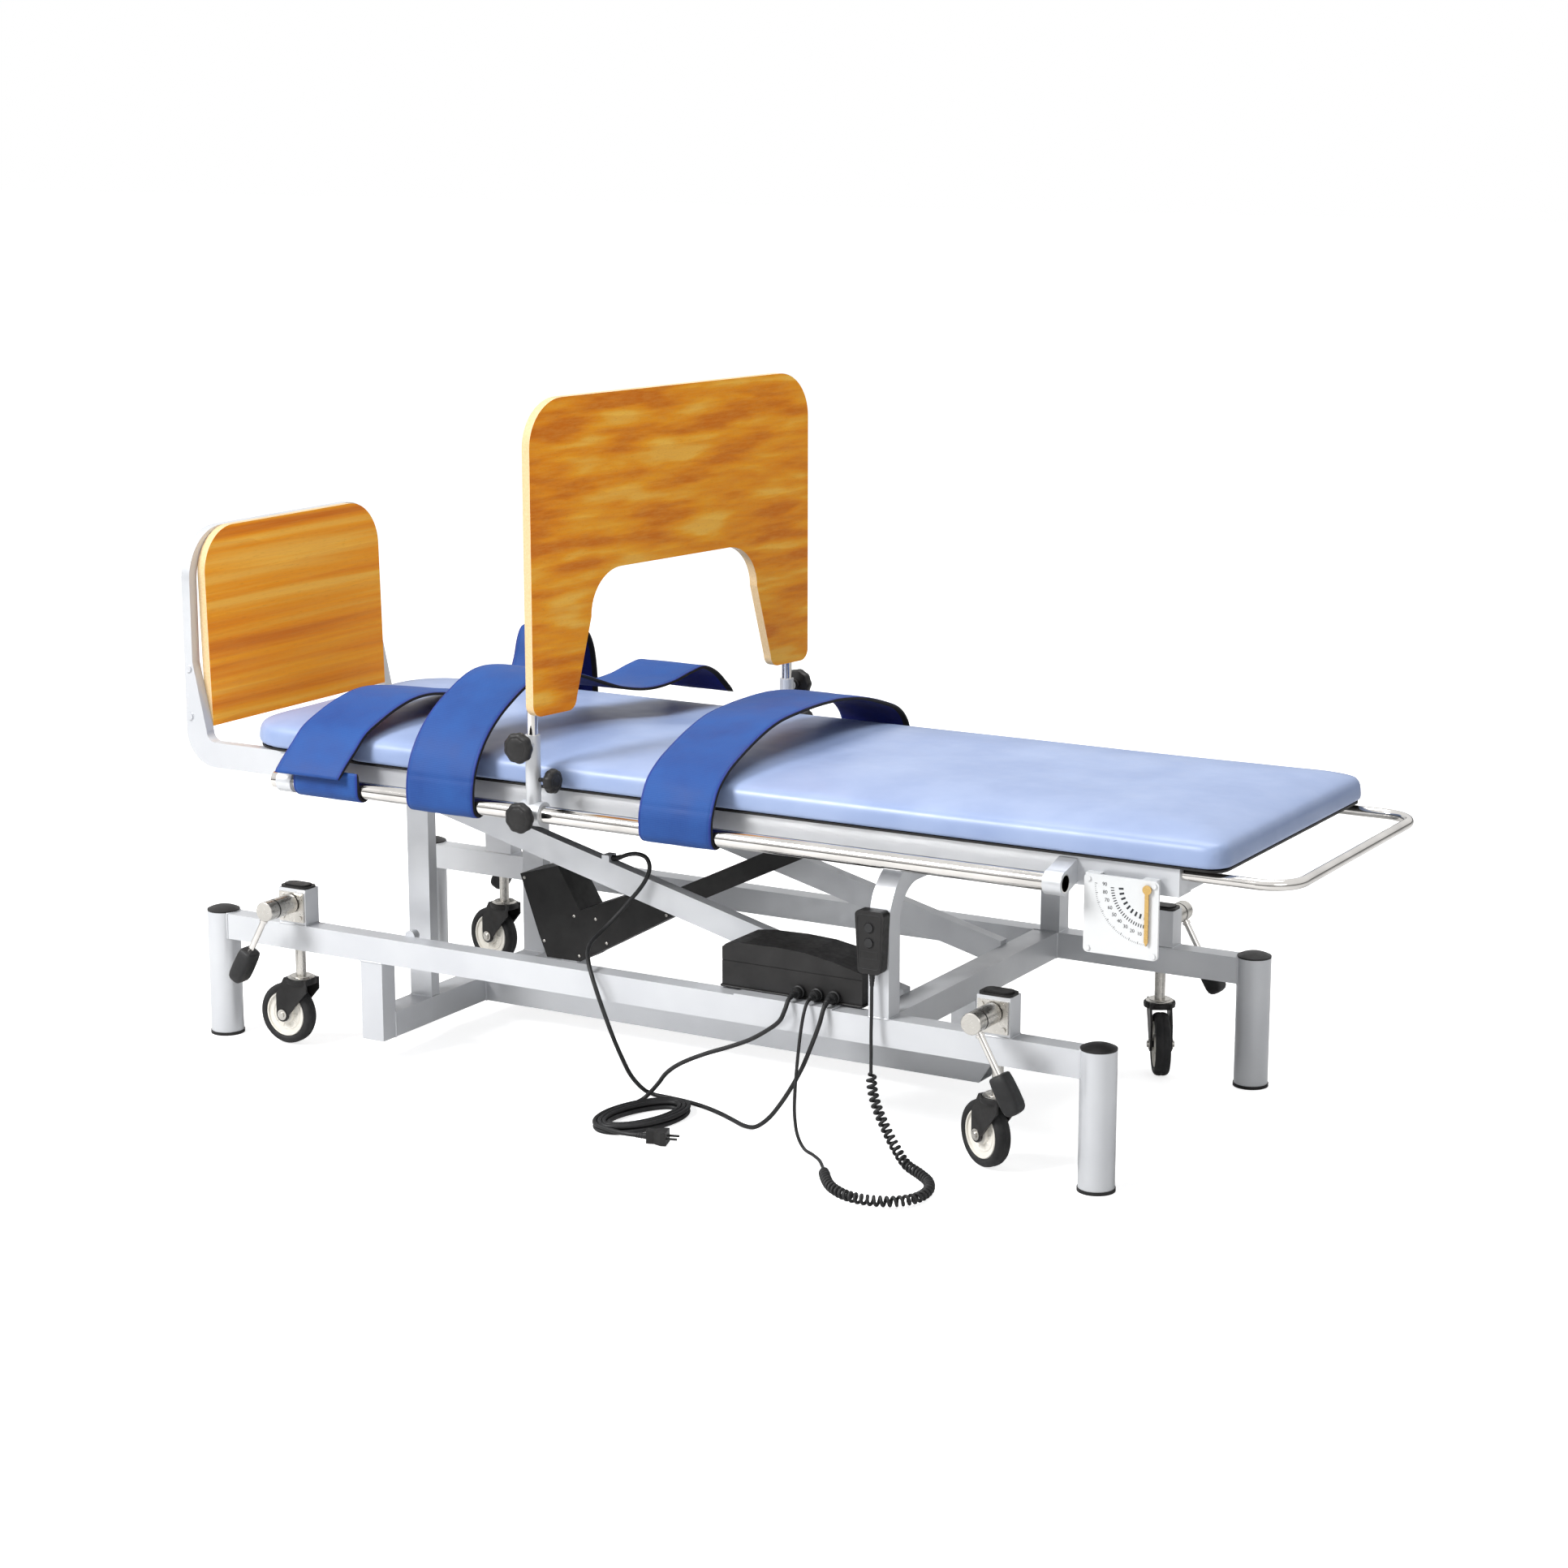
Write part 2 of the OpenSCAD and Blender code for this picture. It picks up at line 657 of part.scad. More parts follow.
// Control box on its tray, with three sockets low on its near face
box_over = 7.5;
box_face = -rail_in - box_over;
box_z0 = rail_z1 + tray_t;
box_shares = [
    [0, 0], [1, 0], [1, 0.7], [0.8, 0.86], [0.6, 0.97], [0.4, 1], [0.15, 0.98], [0.03, 0.93], [0, 0.85]];
seam_w = 1.6;
seam_deep = 1.2;
seam_share = 0.56;
socket_shares = [0.56, 0.69, 0.81];
socket_r = 10;
socket_l_out = 12;
socket_up = 12;
module control_box() color(black) {
    difference() {
        across(box_face, box_w)
            polygon([for (p = box_shares) [box_x + p[0] * box_l, box_z0 + p[1] * box_h]]);
        for (y = [box_face - cut, box_face + box_w - seam_deep])
            translate([box_x - cut, y, box_z0 + seam_share * box_h])
                cube([box_l + 2 * cut, seam_deep + cut, seam_w]);
    }
    for (share = socket_shares)
        translate([box_x + share * box_l, 0, box_z0 + socket_up])
            rod_y(box_face - socket_l_out, socket_l_out, socket_r);
}

// Handset hung on the hoop's near leg, with two buttons in wells
handset_z = 331;
handset_off = 5;
handset_x = hoop_x - handset_off;
hook_t = 2.4;
hook_w = 22;
hook_l = 34;
hook_share = 0.62;
handset_back = -leg_y - hoop_w / 2 - hook_t;
handset_face = handset_back - handset_t;
handset_r = 9;
waist_share = 0.8;
button_r = 8;
button_deep = 5;
button_out = 2.5;
button_shares = [0.74, 0.5];
module handset_outline() {
    top = handset_w / 2 - handset_r;
    foot = waist_share * handset_w / 2 - handset_r;
    polygon([
        [-foot - handset_r, handset_r], [-foot, 0], [foot, 0], [foot + handset_r, handset_r],
        [top + handset_r, handset_l - handset_r], [top, handset_l],
        [-top, handset_l], [-top - handset_r, handset_l - handset_r]]);
    for (side = [-1, 1]) {
        translate([side * foot, handset_r]) circle(handset_r);
        translate([side * top, handset_l - handset_r]) circle(handset_r);
    }
}
module handset() color(black) {
    difference() {
        translate([handset_x, 0, handset_z]) across(handset_face, handset_t) handset_outline();
        for (share = button_shares)
            translate([handset_x, 0, handset_z + share * handset_l])
                rod_y(handset_face - cut, button_deep + cut, button_r + fit);
    }
    translate([handset_x - hook_w / 2, handset_back, handset_z + hook_share * handset_l])
        cube([hook_w, hook_t, hook_l]);
}
module button(share) {
    translate([handset_x, 0, handset_z + share * handset_l])
        rod_y(handset_face - button_out, button_out + button_deep - button_travel - near_gap,
            button_r);
}
module button_up() color("gray") button(button_shares[0]);
module button_down() color("gray") button(button_shares[1]);

// Tube swept along a route: rings of n sides carried along without twist
function unit(v) = v / norm(v);
function heading(p, i) = unit(p[min(i + 1, len(p) - 1)] - p[max(i - 1, 0)]);
function square_to(v, t) = unit(v - (v * t) * t);
function normals(p, first, i = 0, done = []) =
    i == len(p) ? done :
    normals(p, first, i + 1,
        concat(done, [square_to(i == 0 ? first : done[i - 1], heading(p, i))]));
function ring(p, t, a, r, n) =
    let (b = cross(t, a)) [for (j = [0:n - 1]) p + r * (cos(360 * j / n) * a + sin(360 * j / n) * b)];
module skin(rings) {
    n = len(rings[0]);
    last = (len(rings) - 1) * n;
    walls = [for (i = [0:len(rings) - 2], j = [0:n - 1])
        let (a = i * n + j, b = i * n + (j + 1) % n) each [[a, a + n, b], [b, a + n, b + n]]];
    near_end = [for (j = [1:n - 2]) [0, j, j + 1]];
    far_end = [for (j = [1:n - 2]) [last, last + j + 1, last + j]];
    polyhedron(points = [for (r = rings) each r], faces = concat(near_end, walls, far_end));
}
module sweep(p, r, n, first = [0.13, 0.21, 0.97]) {
    side = normals(p, first);
    skin([for (i = [0:len(p) - 1]) ring(p[i], heading(p, i), side[i], r, n)]);
}

// Places where the leads leave the box, the clip and the handset
socket_y = box_face - socket_l_out;
socket_z = box_z0 + socket_up;
function socket_x(i) = box_x + socket_shares[i] * box_l;
lead_r = lead_d / 2;
hand_r = hand_d / 2;
lead_sides = 8;
clip_z = brace_top(clip_x) + clip_h / 2;
clip_y = -stand_out + stand_t / 2;
motor_route = [
    [-212, -195, 424], [-192, -201, 432], [-168, -208, 437], [-146, -214, 434],
    [-136, -218, 420], [-138, -222, 402], [-150, -226, 380], [-168, -235, 355],
    [-186, -247, 330], [-202, -268, 306], [-208, -300, 289], [-198, -333, 278],
    [-178, -361, 262], [-160, -376, 240], [-144, -381, 208], [-130, -380, 172],
    [-118, -374, 134], [-109, -360, 94], [-107, -334, 54], [-104, -300, 20],
    [-90, -286, 7], [-60, -284, 5], [-16, -288, 5], [30, -299, 5], [74, -317, 5],
    [114, -338, 5], [150, -359, 6], [182, -373, 13], [212, -379, 35], [238, -382, 66],
    [262, -383, 102], [284, -383, 142], [302, -383, 184], [316, -381, 222],
    [320, -372, 250], [320, -358, 261]];
mains_route = [
    [248, -356, 262], [248, -370, 256], [247, -381, 240], [238, -384, 220],
    [214, -384, 200], [176, -384, 176], [132, -384, 156], [88, -383, 138],
    [46, -378, 118], [10, -367, 97], [-22, -349, 73], [-48, -330, 48],
    [-70, -320, 26], [-85, -324, 10], [-91, -344, 5]];
module motor_cord() color(black) {
    start = [clip_x, clip_y, clip_z];
    end = [socket_x(2), socket_y, socket_z];
    sweep(concat([start, start + [lead_d, 0, 0]], motor_route, [end - [0, lead_d, 0], end]),
        lead_r, lead_sides);
}

// Coiled mains lead: an oval spiral that winds in on the floor and out again on top
coil_at = [-33, -408];
coil_turn = 76;
coil_long = 106;
coil_wide = 62;
coil_gap = 0.9;
coil_step = lead_d + coil_gap;
coil_layer = lead_d + coil_gap;
coil_rings = 24;
coil_sides = 6;
coil_z = lead_r + near_gap;
coil_turns = loops + 0.25;
coil_start = 90;
function ramp(v) = let (c = min(max(v, 0), 1)) c * c * (3 - 2 * c);
function coil_point(t) =
    let (
        inset = coil_step * min(t, coil_turns - t),
        angle = coil_start + 360 * t,
        u = (coil_long - inset) * cos(angle),
        v = (coil_wide - inset) * sin(angle))
    [coil_at[0] + u * cos(coil_turn) - v * sin(coil_turn),
     coil_at[1] + u * sin(coil_turn) + v * cos(coil_turn),
     coil_z + coil_layer * ramp(2 * (t - coil_turns / 2) + 0.5)];
coil_count = coil_turns * coil_rings;
coil_tail = [[-36, -517, 13], [-14, -521, 13], [8, -521, 13], [30, -517, 13], [42, -513, 13]];
coil_path = concat(
    [for (i = [2, 1]) coil_point(0) + i * lead_d * [cos(coil_turn), sin(coil_turn), 0]],
    [for (i = [0:coil_count]) coil_point(i / coil_rings)], coil_tail);
function self_gap(p, skip, d) =
    min([for (i = [0:len(p) - 1 - skip], j = [i + skip:len(p) - 1]) norm(p[i] - p[j])]) - d;
echo(str("Least gap between turns of the coil: ", self_gap(coil_path, 12, lead_d), " mm"));
module mains_coil() color(black) sweep(coil_path, lead_r, coil_sides);
module mains_cord() color(black) {
    start = [socket_x(0), socket_y, socket_z];
    sweep(concat([start, start - [0, lead_d, 0]], mains_route,
        [2 * coil_path[0] - coil_path[1], coil_path[0]]), lead_r, lead_sides);
}

// Two-pin mains plug lying beside the coil
plug_line = coil_path[len(coil_path) - 1] - coil_path[len(coil_path) - 2];
plug_turn = atan2(plug_line[1], plug_line[0]);
plug_body = 38;
plug_wide = 32;
plug_thick = 24;
plug_neck = 14;
plug_neck_w = 14;
pin_r = 2.2;
pin_l = 19;
pin_space = 19;
module mains_plug() color(black) {
    translate(coil_path[len(coil_path) - 1]) rotate([0, 0, plug_turn]) {
        translate([0, 0, -plug_thick / 2]) linear_extrude(plug_thick) polygon([
            [0, -plug_neck_w / 2], [plug_neck, -plug_neck_w / 2],
            [2 * plug_neck, -plug_wide / 2], [plug_body, -plug_wide / 2],
            [plug_body, plug_wide / 2], [2 * plug_neck, plug_wide / 2],
            [plug_neck, plug_neck_w / 2], [0, plug_neck_w / 2]]);
        for (y = [-1, 1])
            translate([plug_body, y * pin_space / 2, 0]) rotate([0, 90, 0]) cylinder(h = pin_l, r = pin_r);
    }
}

// Curly handset lead: a helix wound round a smooth line through the chosen points
curl_line = [
    [426, -392, 159], [431, -395, 126], [443, -399, 96], [461, -403, 66],
    [484, -411, 38], [515, -427, 16], [553, -450, 12], [586, -480, 12],
    [606, -520, 12], [606, -562, 12], [582, -596, 12], [542, -612, 12],
    [499, -609, 12], [458, -586, 12], [428, -553, 12], [404, -518, 12]];
curl_r = curl_d / 2 - hand_r;
curl_rings = 8;
curl_sides = 6;
function spline(p, u) =
    let (
        n = len(p) - 1, i = min(floor(u), n - 1), f = u - i,
        a = p[max(i - 1, 0)], b = p[i], c = p[i + 1], d = p[min(i + 2, n)])
    (2 * b + (c - a) * f + (2 * a - 5 * b + 4 * c - d) * f * f
        + (3 * b - a - 3 * c + d) * f * f * f) / 2;
curl_count = curls * curl_rings;
curl_core = [for (i = [0:curl_count]) spline(curl_line, (len(curl_line) - 1) * i / curl_count)];
curl_normals = normals(curl_core, [1, 0, 0]);
function curl_point(i) =
    let (
        t = heading(curl_core, i), a = curl_normals[i], b = cross(t, a),
        grow = curl_r * ramp(min(i, curl_count - i) / curl_rings),
        angle = 360 * i / curl_rings)
    curl_core[i] + grow * (cos(angle) * a + sin(angle) * b);
curl_path = concat(
    [curl_core[0] - heading(curl_core, 0) * hand_d],
    [for (i = [0:curl_count]) curl_point(i)],
    [curl_core[curl_count] + heading(curl_core, curl_count) * hand_d]);
echo(str("Least gap between curls: ", min([for (i = [1:len(curl_path) - 12], j = [6:10])
    norm(curl_path[i] - curl_path[i + j])]) - hand_d, " mm"));
module handset_curl() color(black) sweep(curl_path, hand_r, curl_sides);

// Straight stretches of the handset lead, from the handset and back to the box
hand_top = [handset_x, handset_back - handset_t / 2, handset_z];
hand_down_route = [[419, -378, 298], [420, -380, 260], [421, -383, 222], [424, -388, 188]];
hand_back_route = [
    [382, -486, 9], [358, -454, 5], [334, -433, 4], [310, -422, 8], [294, -418, 30],
    [286, -414, 66], [283, -407, 106], [282, -399, 146], [282, -390, 190],
    [284, -382, 230], [285, -372, 252], [285, -358, 261]];
module handset_lead() color(black) {
    sweep(concat([hand_top, hand_top - [0, 0, hand_d]], hand_down_route,
        [curl_path[0] - heading(curl_core, 0) * hand_d, curl_path[0]]), hand_r, lead_sides);
    last = len(curl_path) - 1;
    end = [socket_x(1), socket_y, socket_z];
    sweep(concat([curl_path[last], curl_path[last] + heading(curl_core, curl_count) * hand_d],
        hand_back_route, [end - [0, hand_d, 0], end]), hand_r, lead_sides);
}

// Bed frame: rails, cross tubes, hinge lugs and actuator ears
end_cap_t = 4;
handle_z = bed_z0 + handle_rise;
bed_in = bed_y - bed_tube;
foot_tie_share = 0.7;
ear_t = 8;
ear_gap = 30;
act_head_z = bed_z0 - act_drop;
act_span = [act_head_x + act_x, act_head_z - act_z];
act_len = norm(act_span);
act_angle = atan2(act_span[1], act_span[0]);
ties = [foot_tie_share * bed_tube - bed_foot_x, hinge_pos, act_head_x, hoop_x,
    bed_head_x - bed_tube / 2 - end_cap_t];
module lug(y0, t, z, r, bore) {
    across(y0, t) difference() {
        union() {
            translate([-r, z]) square([2 * r, bed_z0 - z]);
            translate([0, z]) circle(r);
        }
        translate([0, z]) circle(bore);
    }
}
module bed_frame() color(silver) {
    for (side = [-1, 1]) difference() {
        union() {
            translate([-bed_foot_x, side * (bed_y - bed_tube / 2), bed_z0])
                tube_x(bed_foot_x + bed_head_x, bed_tube, bed_tube);
            translate([bed_head_x - end_cap_t, side * (bed_y - bed_tube / 2) - bed_tube / 2, bed_z0])
                cube([end_cap_t, bed_tube, bed_tube]);
        }
        translate([bed_head_x - end_cap_t - cut, side * handle_y, handle_z]) rotate([0, 90, 0])
            cylinder(h = end_cap_t + 2 * cut, r = handle_d / 2 + fit);
    }
    for (x = ties) translate([x, -bed_in, bed_z0]) tube_y(2 * bed_in, bed_tube, bed_tube);
    for (y = [-lug_out - lug_t, -lug_in - lug_t, lug_in, lug_out])
        translate([hinge_pos, 0, 0]) lug(y, lug_t, hinge_z, lug_r, hinge_pin_r + fit);
    for (y = [-ear_gap - ear_t, ear_gap])
        translate([act_head_x, 0, 0]) lug(y, ear_t, act_head_z, lug_r, hinge_pin_r + near_gap);
}

// Plan outline of the mattress, pulled in by d
module plan(d) {
    x0 = -mattress_foot_x + d;
    x1 = mattress_head_x - d;
    y = mattress_y - d;
    yf = mattress_foot_y - d;
    rf = foot_corner_r - d;
    rh = head_corner_r - d;
    narrow = x0 + rf + narrow_l;
    polygon([
        [x0 + rf, -yf], [narrow, -yf], [narrow + taper_l, -y], [x1 - rh, -y],
        [x1 - rh, y], [narrow + taper_l, y], [narrow, yf], [x0 + rf, yf]]);
    translate([x0, rf - yf]) square([rf, 2 * (yf - rf)]);
    translate([x1 - rh, rh - y]) square([rh, 2 * (y - rh)]);
    for (side = [-1, 1]) {
        translate([x0 + rf, side * (yf - rf)]) circle(rf, $fn = 96);
        translate([x1 - rh, side * (y - rh)]) circle(rh);
    }
}
board_inset = 14;
module mattress_board() color("dimgray")
    translate([0, 0, bed_z1]) linear_extrude(board_t) plan(board_inset);

// Mattress: drawn-in sides, a rounded upper edge and a crowned top
mattress_z0 = bed_z1 + board_t + near_gap;
corner_steps = 8;
edge_steps = 4;
crown_shares = [0.25, 0.5, 0.75, 1];
crown_reach = 300;
function corner(x, y, r, a0) =
    [for (i = [0:corner_steps]) let (a = a0 + 90 * i / corner_steps) [x + r * cos(a), y + r * sin(a)]];
function plan_ring(d, z) =
    let (
        x0 = -mattress_foot_x + d, x1 = mattress_head_x - d,
        y = mattress_y - d, yf = mattress_foot_y - d,
        rf = max(foot_corner_r - d, edge_r / 2), rh = max(head_corner_r - d, edge_r),
        narrow = x0 + rf + narrow_l, wide = narrow + taper_l)
    [for (p = concat(
        [[x1, 0]], corner(x1 - rh, y - rh, rh, 0),
        [[wide, y], [narrow, yf]], corner(x0 + rf, yf - rf, rf, 90),
        corner(x0 + rf, rf - yf, rf, 180), [[narrow, -yf], [wide, -y]],
        corner(x1 - rh, rh - y, rh, 270)))
        [p[0], p[1], z]];
mattress_rings = concat(
    [for (s = [0, 0.35, 0.7, 1])
        plan_ring(side_draw * (1 - ramp(s)), mattress_z0 + s * (mattress_t - edge_r))],
    [for (i = [1:edge_steps]) let (a = 90 * i / edge_steps)
        plan_ring(edge_r * (1 - cos(a)), mattress_z0 + mattress_t - edge_r * (1 - sin(a)))],
    [for (s = crown_shares)
        plan_ring(edge_r + s * (crown_reach - edge_r), mattress_z0 + mattress_t + crown * ramp(s))]);
module mattress() color(vinyl) skin(mattress_rings);

// Side tubes and the brackets that hold them to the bed rails
side_tube_z = bed_z0 + side_tube_rise;
side_r = side_tube_d / 2;
side_wall = 2;
module side_tubes() color("lightgray")
    for (side = [-1, 1])
        translate([-side_foot_x, side * side_tube_y, side_tube_z]) rotate([0, 90, 0])
            difference() {
                cylinder(h = side_foot_x + side_head_x, r = side_r);
                translate([0, 0, -cut])
                    cylinder(h = side_foot_x + side_head_x + 2 * cut, r = side_r - side_wall);
            }
bracket_inset = 16;
bracket_ring = 5;
bracket_screw_share = 0.27;
module tube_brackets() color(silver)
    for (side = [-1, 1], x = [bracket_inset - side_foot_x, side_head_x - bracket_l]) {
        translate([x, 0, 0]) difference() {
            rotate([90, 0, 90]) linear_extrude(bracket_l) {
                polygon([
                    [side * bed_y, bed_z0 + bracket_ring],
                    [side * side_tube_y, side_tube_z - side_r - bracket_ring],
                    [side * side_tube_y, side_tube_z + side_r + bracket_ring],
                    [side * bed_y, bed_z1 - bracket_ring]]);
                translate([side * side_tube_y, side_tube_z]) circle(side_r + bracket_ring);
            }
            translate([-cut, side * side_tube_y, side_tube_z]) rotate([0, 90, 0])
                cylinder(h = bracket_l + 2 * cut, r = side_r + fit);
        }
    }

// Chrome handle at the head end, let into the bed rails
handle_in = 60;
module head_handle() color("lightgray") {
    legs_x = handle_x - handle_d / 2 - handle_r;
    half = handle_y - handle_r;
    for (side = [-1, 1]) {
        translate([bed_head_x - handle_in, side * handle_y, handle_z]) rotate([0, 90, 0])
            cylinder(h = legs_x - bed_head_x + handle_in, r = handle_d / 2);
        translate([legs_x, side * half, handle_z]) rotate([0, 0, side > 0 ? 0 : -90])
            rotate_extrude(angle = 90) translate([handle_r, 0]) circle(handle_d / 2);
    }
    translate([legs_x + handle_r, 0, handle_z]) rod_y(-half, 2 * half, handle_d / 2);
}

// Foot frame: flat tube legs that bend up and carry a narrower hoop
foot_in = foot_leg_y - foot_leg_t;
spigot_l = 60;
bolt_r = 7;
bolt_h = 3;
bolt_shares = [0.2, 0.9];
bend_x = foot_bend - foot_frame_x;
bend_z = bed_z0 + foot_bend;
module foot_leg_outline(w) {
    translate([bend_x, bed_z0 + w]) square([-bed_foot_x - bend_x, bed_tube - 2 * w]);
    intersection() {
        translate([bend_x - foot_bend, bend_z - foot_bend]) square(foot_bend);
        difference() {
            translate([bend_x, bend_z]) circle(foot_bend - w, $fn = 96);
            translate([bend_x, bend_z]) circle(foot_bend - bed_tube + w);
        }
    }
    polygon([
        [-foot_frame_x + w, bend_z], [-foot_frame_x + bed_tube - w, bend_z],
        [-foot_frame_x + hoop_t - w, foot_wide_top], [-foot_frame_x + w, foot_wide_top]]);
}
module hoop_outline(w) {
    outer = foot_leg_y - w;
    inner = foot_leg_y - foot_leg_t + w;
    r = foot_hoop_r;
    difference() {
        union() {
            translate([-outer, foot_wide_top]) square([2 * outer, foot_top - r - foot_wide_top]);
            translate([r - foot_leg_y, foot_top - r]) square([2 * (foot_leg_y - r), r - w]);
            for (side = [-1, 1]) translate([side * (foot_leg_y - r), foot_top - r])
                circle(r - w, $fn = 96);
        }
        translate([-inner, foot_wide_top - cut])
            square([2 * inner, foot_top - r - foot_wide_top + cut]);
        translate([r - foot_leg_y, foot_top - r]) square([2 * (foot_leg_y - r), r - foot_leg_t + w]);
        for (side = [-1, 1]) translate([side * (foot_leg_y - r), foot_top - r])
            circle(r - foot_leg_t + w, $fn = 96);
    }
}
module foot_frame() color(silver) {
    for (side = [-1, 1]) {
        y0 = side > 0 ? foot_in : -foot_leg_y;
        difference() {
            across(y0, foot_leg_t) foot_leg_outline(0);
            across(y0 + tube_wall, foot_leg_t - 2 * tube_wall) foot_leg_outline(tube_wall);
        }
        translate([-bed_foot_x, y0, bed_z0 + tube_wall + seat])
            cube([spigot_l, foot_leg_t, bed_tube - 2 * tube_wall - 2 * seat]);
        for (share = bolt_shares)
            translate([hoop_t / 2 - foot_frame_x, 0, bend_z + share * (foot_wide_top - bend_z)])
                rod_y(side > 0 ? foot_leg_y : -foot_leg_y - bolt_h, bolt_h, bolt_r);
    }
    difference() {
        translate([-foot_frame_x, 0, 0]) rotate([90, 0, 90]) linear_extrude(hoop_t) hoop_outline(0);
        translate([tube_wall - foot_frame_x, 0, 0]) rotate([90, 0, 90])
            linear_extrude(hoop_t - 2 * tube_wall) hoop_outline(tube_wall);
    }
}

// Footboard, leaning back on the hoop
footboard_h = foot_top - footboard_z;
footboard_y = foot_in - near_gap;
module footboard() color(oak)
    translate([hoop_t + near_gap - foot_frame_x, 0, foot_top]) rotate([0, -footboard_lean, 0])
        rotate([90, 0, 90]) linear_extrude(wood_t) {
            translate([-footboard_y, -footboard_h])
                square([2 * footboard_y, footboard_h - footboard_r]);
            translate([footboard_r - footboard_y, -footboard_r])
                square([2 * (footboard_y - footboard_r), footboard_r]);
            for (side = [-1, 1]) translate([side * (footboard_y - footboard_r), -footboard_r])
                circle(footboard_r, $fn = 96);
        }

// Actuator: covered gearbox with a guide tube, and the rod that slides in it
cover_wall = 3;
rear_lug_r = 16;
guide_start = 60;
guide_front = 62;
bush_l = 24;
guide_wall = 3;
guide_bore_l = act_len - guide_front - bush_l - guide_start - guide_wall;
cover_l = 367;
cover_h = 187;
cover_shares = [
    [-0.275, 0.711], [-0.033, 0.85], [0.106, 0.406], [0.436, 0.668], [0.725, 0.529],
    [0.128, -0.112], [0.104, -0.144], [-0.109, -0.15], [-0.161, 0.091]];
cover_mouth_shares = [
    [0.065, -0.053], [0.065, -0.32], [-0.245, -0.32], [-0.245, 0.043], [-0.109, 0.043]];
function on_cover(shares) = [for (p = shares) [p[0] * cover_l, p[1] * cover_h]];
function inset(p, d) =
    let (n = len(p))
    [for (i = [0:n - 1])
        let (
            a = unit(p[i] - p[(i + n - 1) % n]), b = unit(p[(i + 1) % n] - p[i]),
            m = [a[1] + b[1], -a[0] - b[0]])
        p[i] + d * m / (1 + a * b)];
module along_actuator() {
    translate([act_pos, 0, act_z]) rotate([0, -act_angle, 0]) children();
}
module actuator_housing() color(black) difference() {
    union() {
        translate([act_pos, 0, act_z]) difference() {
            across(-cover_y, 2 * cover_y) polygon(on_cover(cover_shares));
            across(cover_wall - cover_y, 2 * (cover_y - cover_wall)) {
                polygon(inset(on_cover(cover_shares), cover_wall));
                polygon(on_cover(cover_mouth_shares));
            }
        }
        along_actuator() {
            rod_y(near_gap - clevis_gap, 2 * (clevis_gap - near_gap), rear_lug_r);
            translate([0, near_gap - clevis_gap, -rear_lug_r])
                cube([guide_start, 2 * (clevis_gap - near_gap), 2 * rear_lug_r]);
            translate([guide_start, 0, -guide_w / 2])
                tube_x(act_len - guide_front - guide_start, guide_w, guide_w, guide_wall);
            translate([guide_start, -guide_w / 2, -guide_w / 2]) cube([guide_wall, guide_w, guide_w]);
            translate([act_len - guide_front - bush_l, -guide_w / 2, -guide_w / 2])
                cube([bush_l, guide_w, guide_w]);
        }
    }
    along_actuator() {
        rod_y(-clevis_gap, 2 * clevis_gap, hinge_pin_r + fit);
        translate([act_len - guide_front - bush_l - cut, 0, 0]) rotate([0, 90, 0])
            cylinder(h = bush_l + 2 * cut, r = rod_r + fit);
        translate([act_len - guide_front - bush_l - guide_bore_l, 0, 0]) rotate([0, 90, 0])
            cylinder(h = guide_bore_l, r = rod_r + guide_wall);
    }
}
rod_in = 540;
rod_eye_r = 17;
rod_eye_w = 40;
rod_pin_w = 56;
module actuator_rod() color("lightgray") along_actuator() {
    translate([act_len - guide_front - rod_in, 0, 0]) rotate([0, 90, 0])
        cylinder(h = guide_front + rod_in - rod_eye_r / 2, r = rod_r);
    translate([act_len, 0, 0]) {
        rod_y(-rod_eye_w / 2, rod_eye_w, rod_eye_r);
        rod_y(-rod_pin_w / 2, rod_pin_w, hinge_pin_r);
    }
}

// Angle dial: a plate held off the near bed rail and a pointer that hangs plumb
dial_z = bed_z0 + dial_rise;
dial_off = 15;
dial_r = 8;
dial_up = 15;
dial_out = 19.5;
spacer_w = 26;
pointer_pin_r = 3;
pointer_hub_r = 8;
pointer_t = 2;
pointer_w = 7;
module dial_plate() color("white") {
    difference() {
        union() {
            translate([dial_x + dial_out - dial_w / 2, 0, dial_z + dial_up - dial_w / 2])
                across(-bed_y - dial_off - dial_t, dial_t) rounded(dial_w, dial_w, dial_r);
            for (x = [dial_x + dial_out - dial_w + spacer_w / 2, dial_x])
                translate([x - spacer_w / 2, -bed_y - dial_off, bed_z0])
                    cube([spacer_w, dial_off, dial_up + dial_rise]);
        }
        translate([dial_x, 0, dial_z])
            rod_y(-bed_y - dial_off - dial_t - cut, dial_t + dial_off / 2, pointer_pin_r + fit);
    }
    for (x = [-1, 1], z = [-1, 1])
        translate([dial_x + dial_out - dial_w / 2 + x * (dial_w / 2 - dial_r), 0,
            dial_z + dial_up - dial_w / 2 + z * (dial_w / 2 - dial_r)])
            rod_y(-bed_y - dial_off - dial_t - screw_h, screw_h, screw_r);
}
module dial_pointer() color("goldenrod") {
    y1 = -bed_y - dial_off - dial_t - screw_h - near_gap;
    translate([dial_x, 0, dial_z]) {
        across(y1 - pointer_t, pointer_t) {
            circle(pointer_hub_r);
            polygon([[-pointer_w / 2, 0], [pointer_w / 2, 0], [pointer_w / 2, pointer_w - pointer_l],
                [0, -pointer_l], [-pointer_w / 2, pointer_w - pointer_l]]);
        }
        rod_y(y1, screw_h + near_gap + dial_t, pointer_pin_r);
    }
}

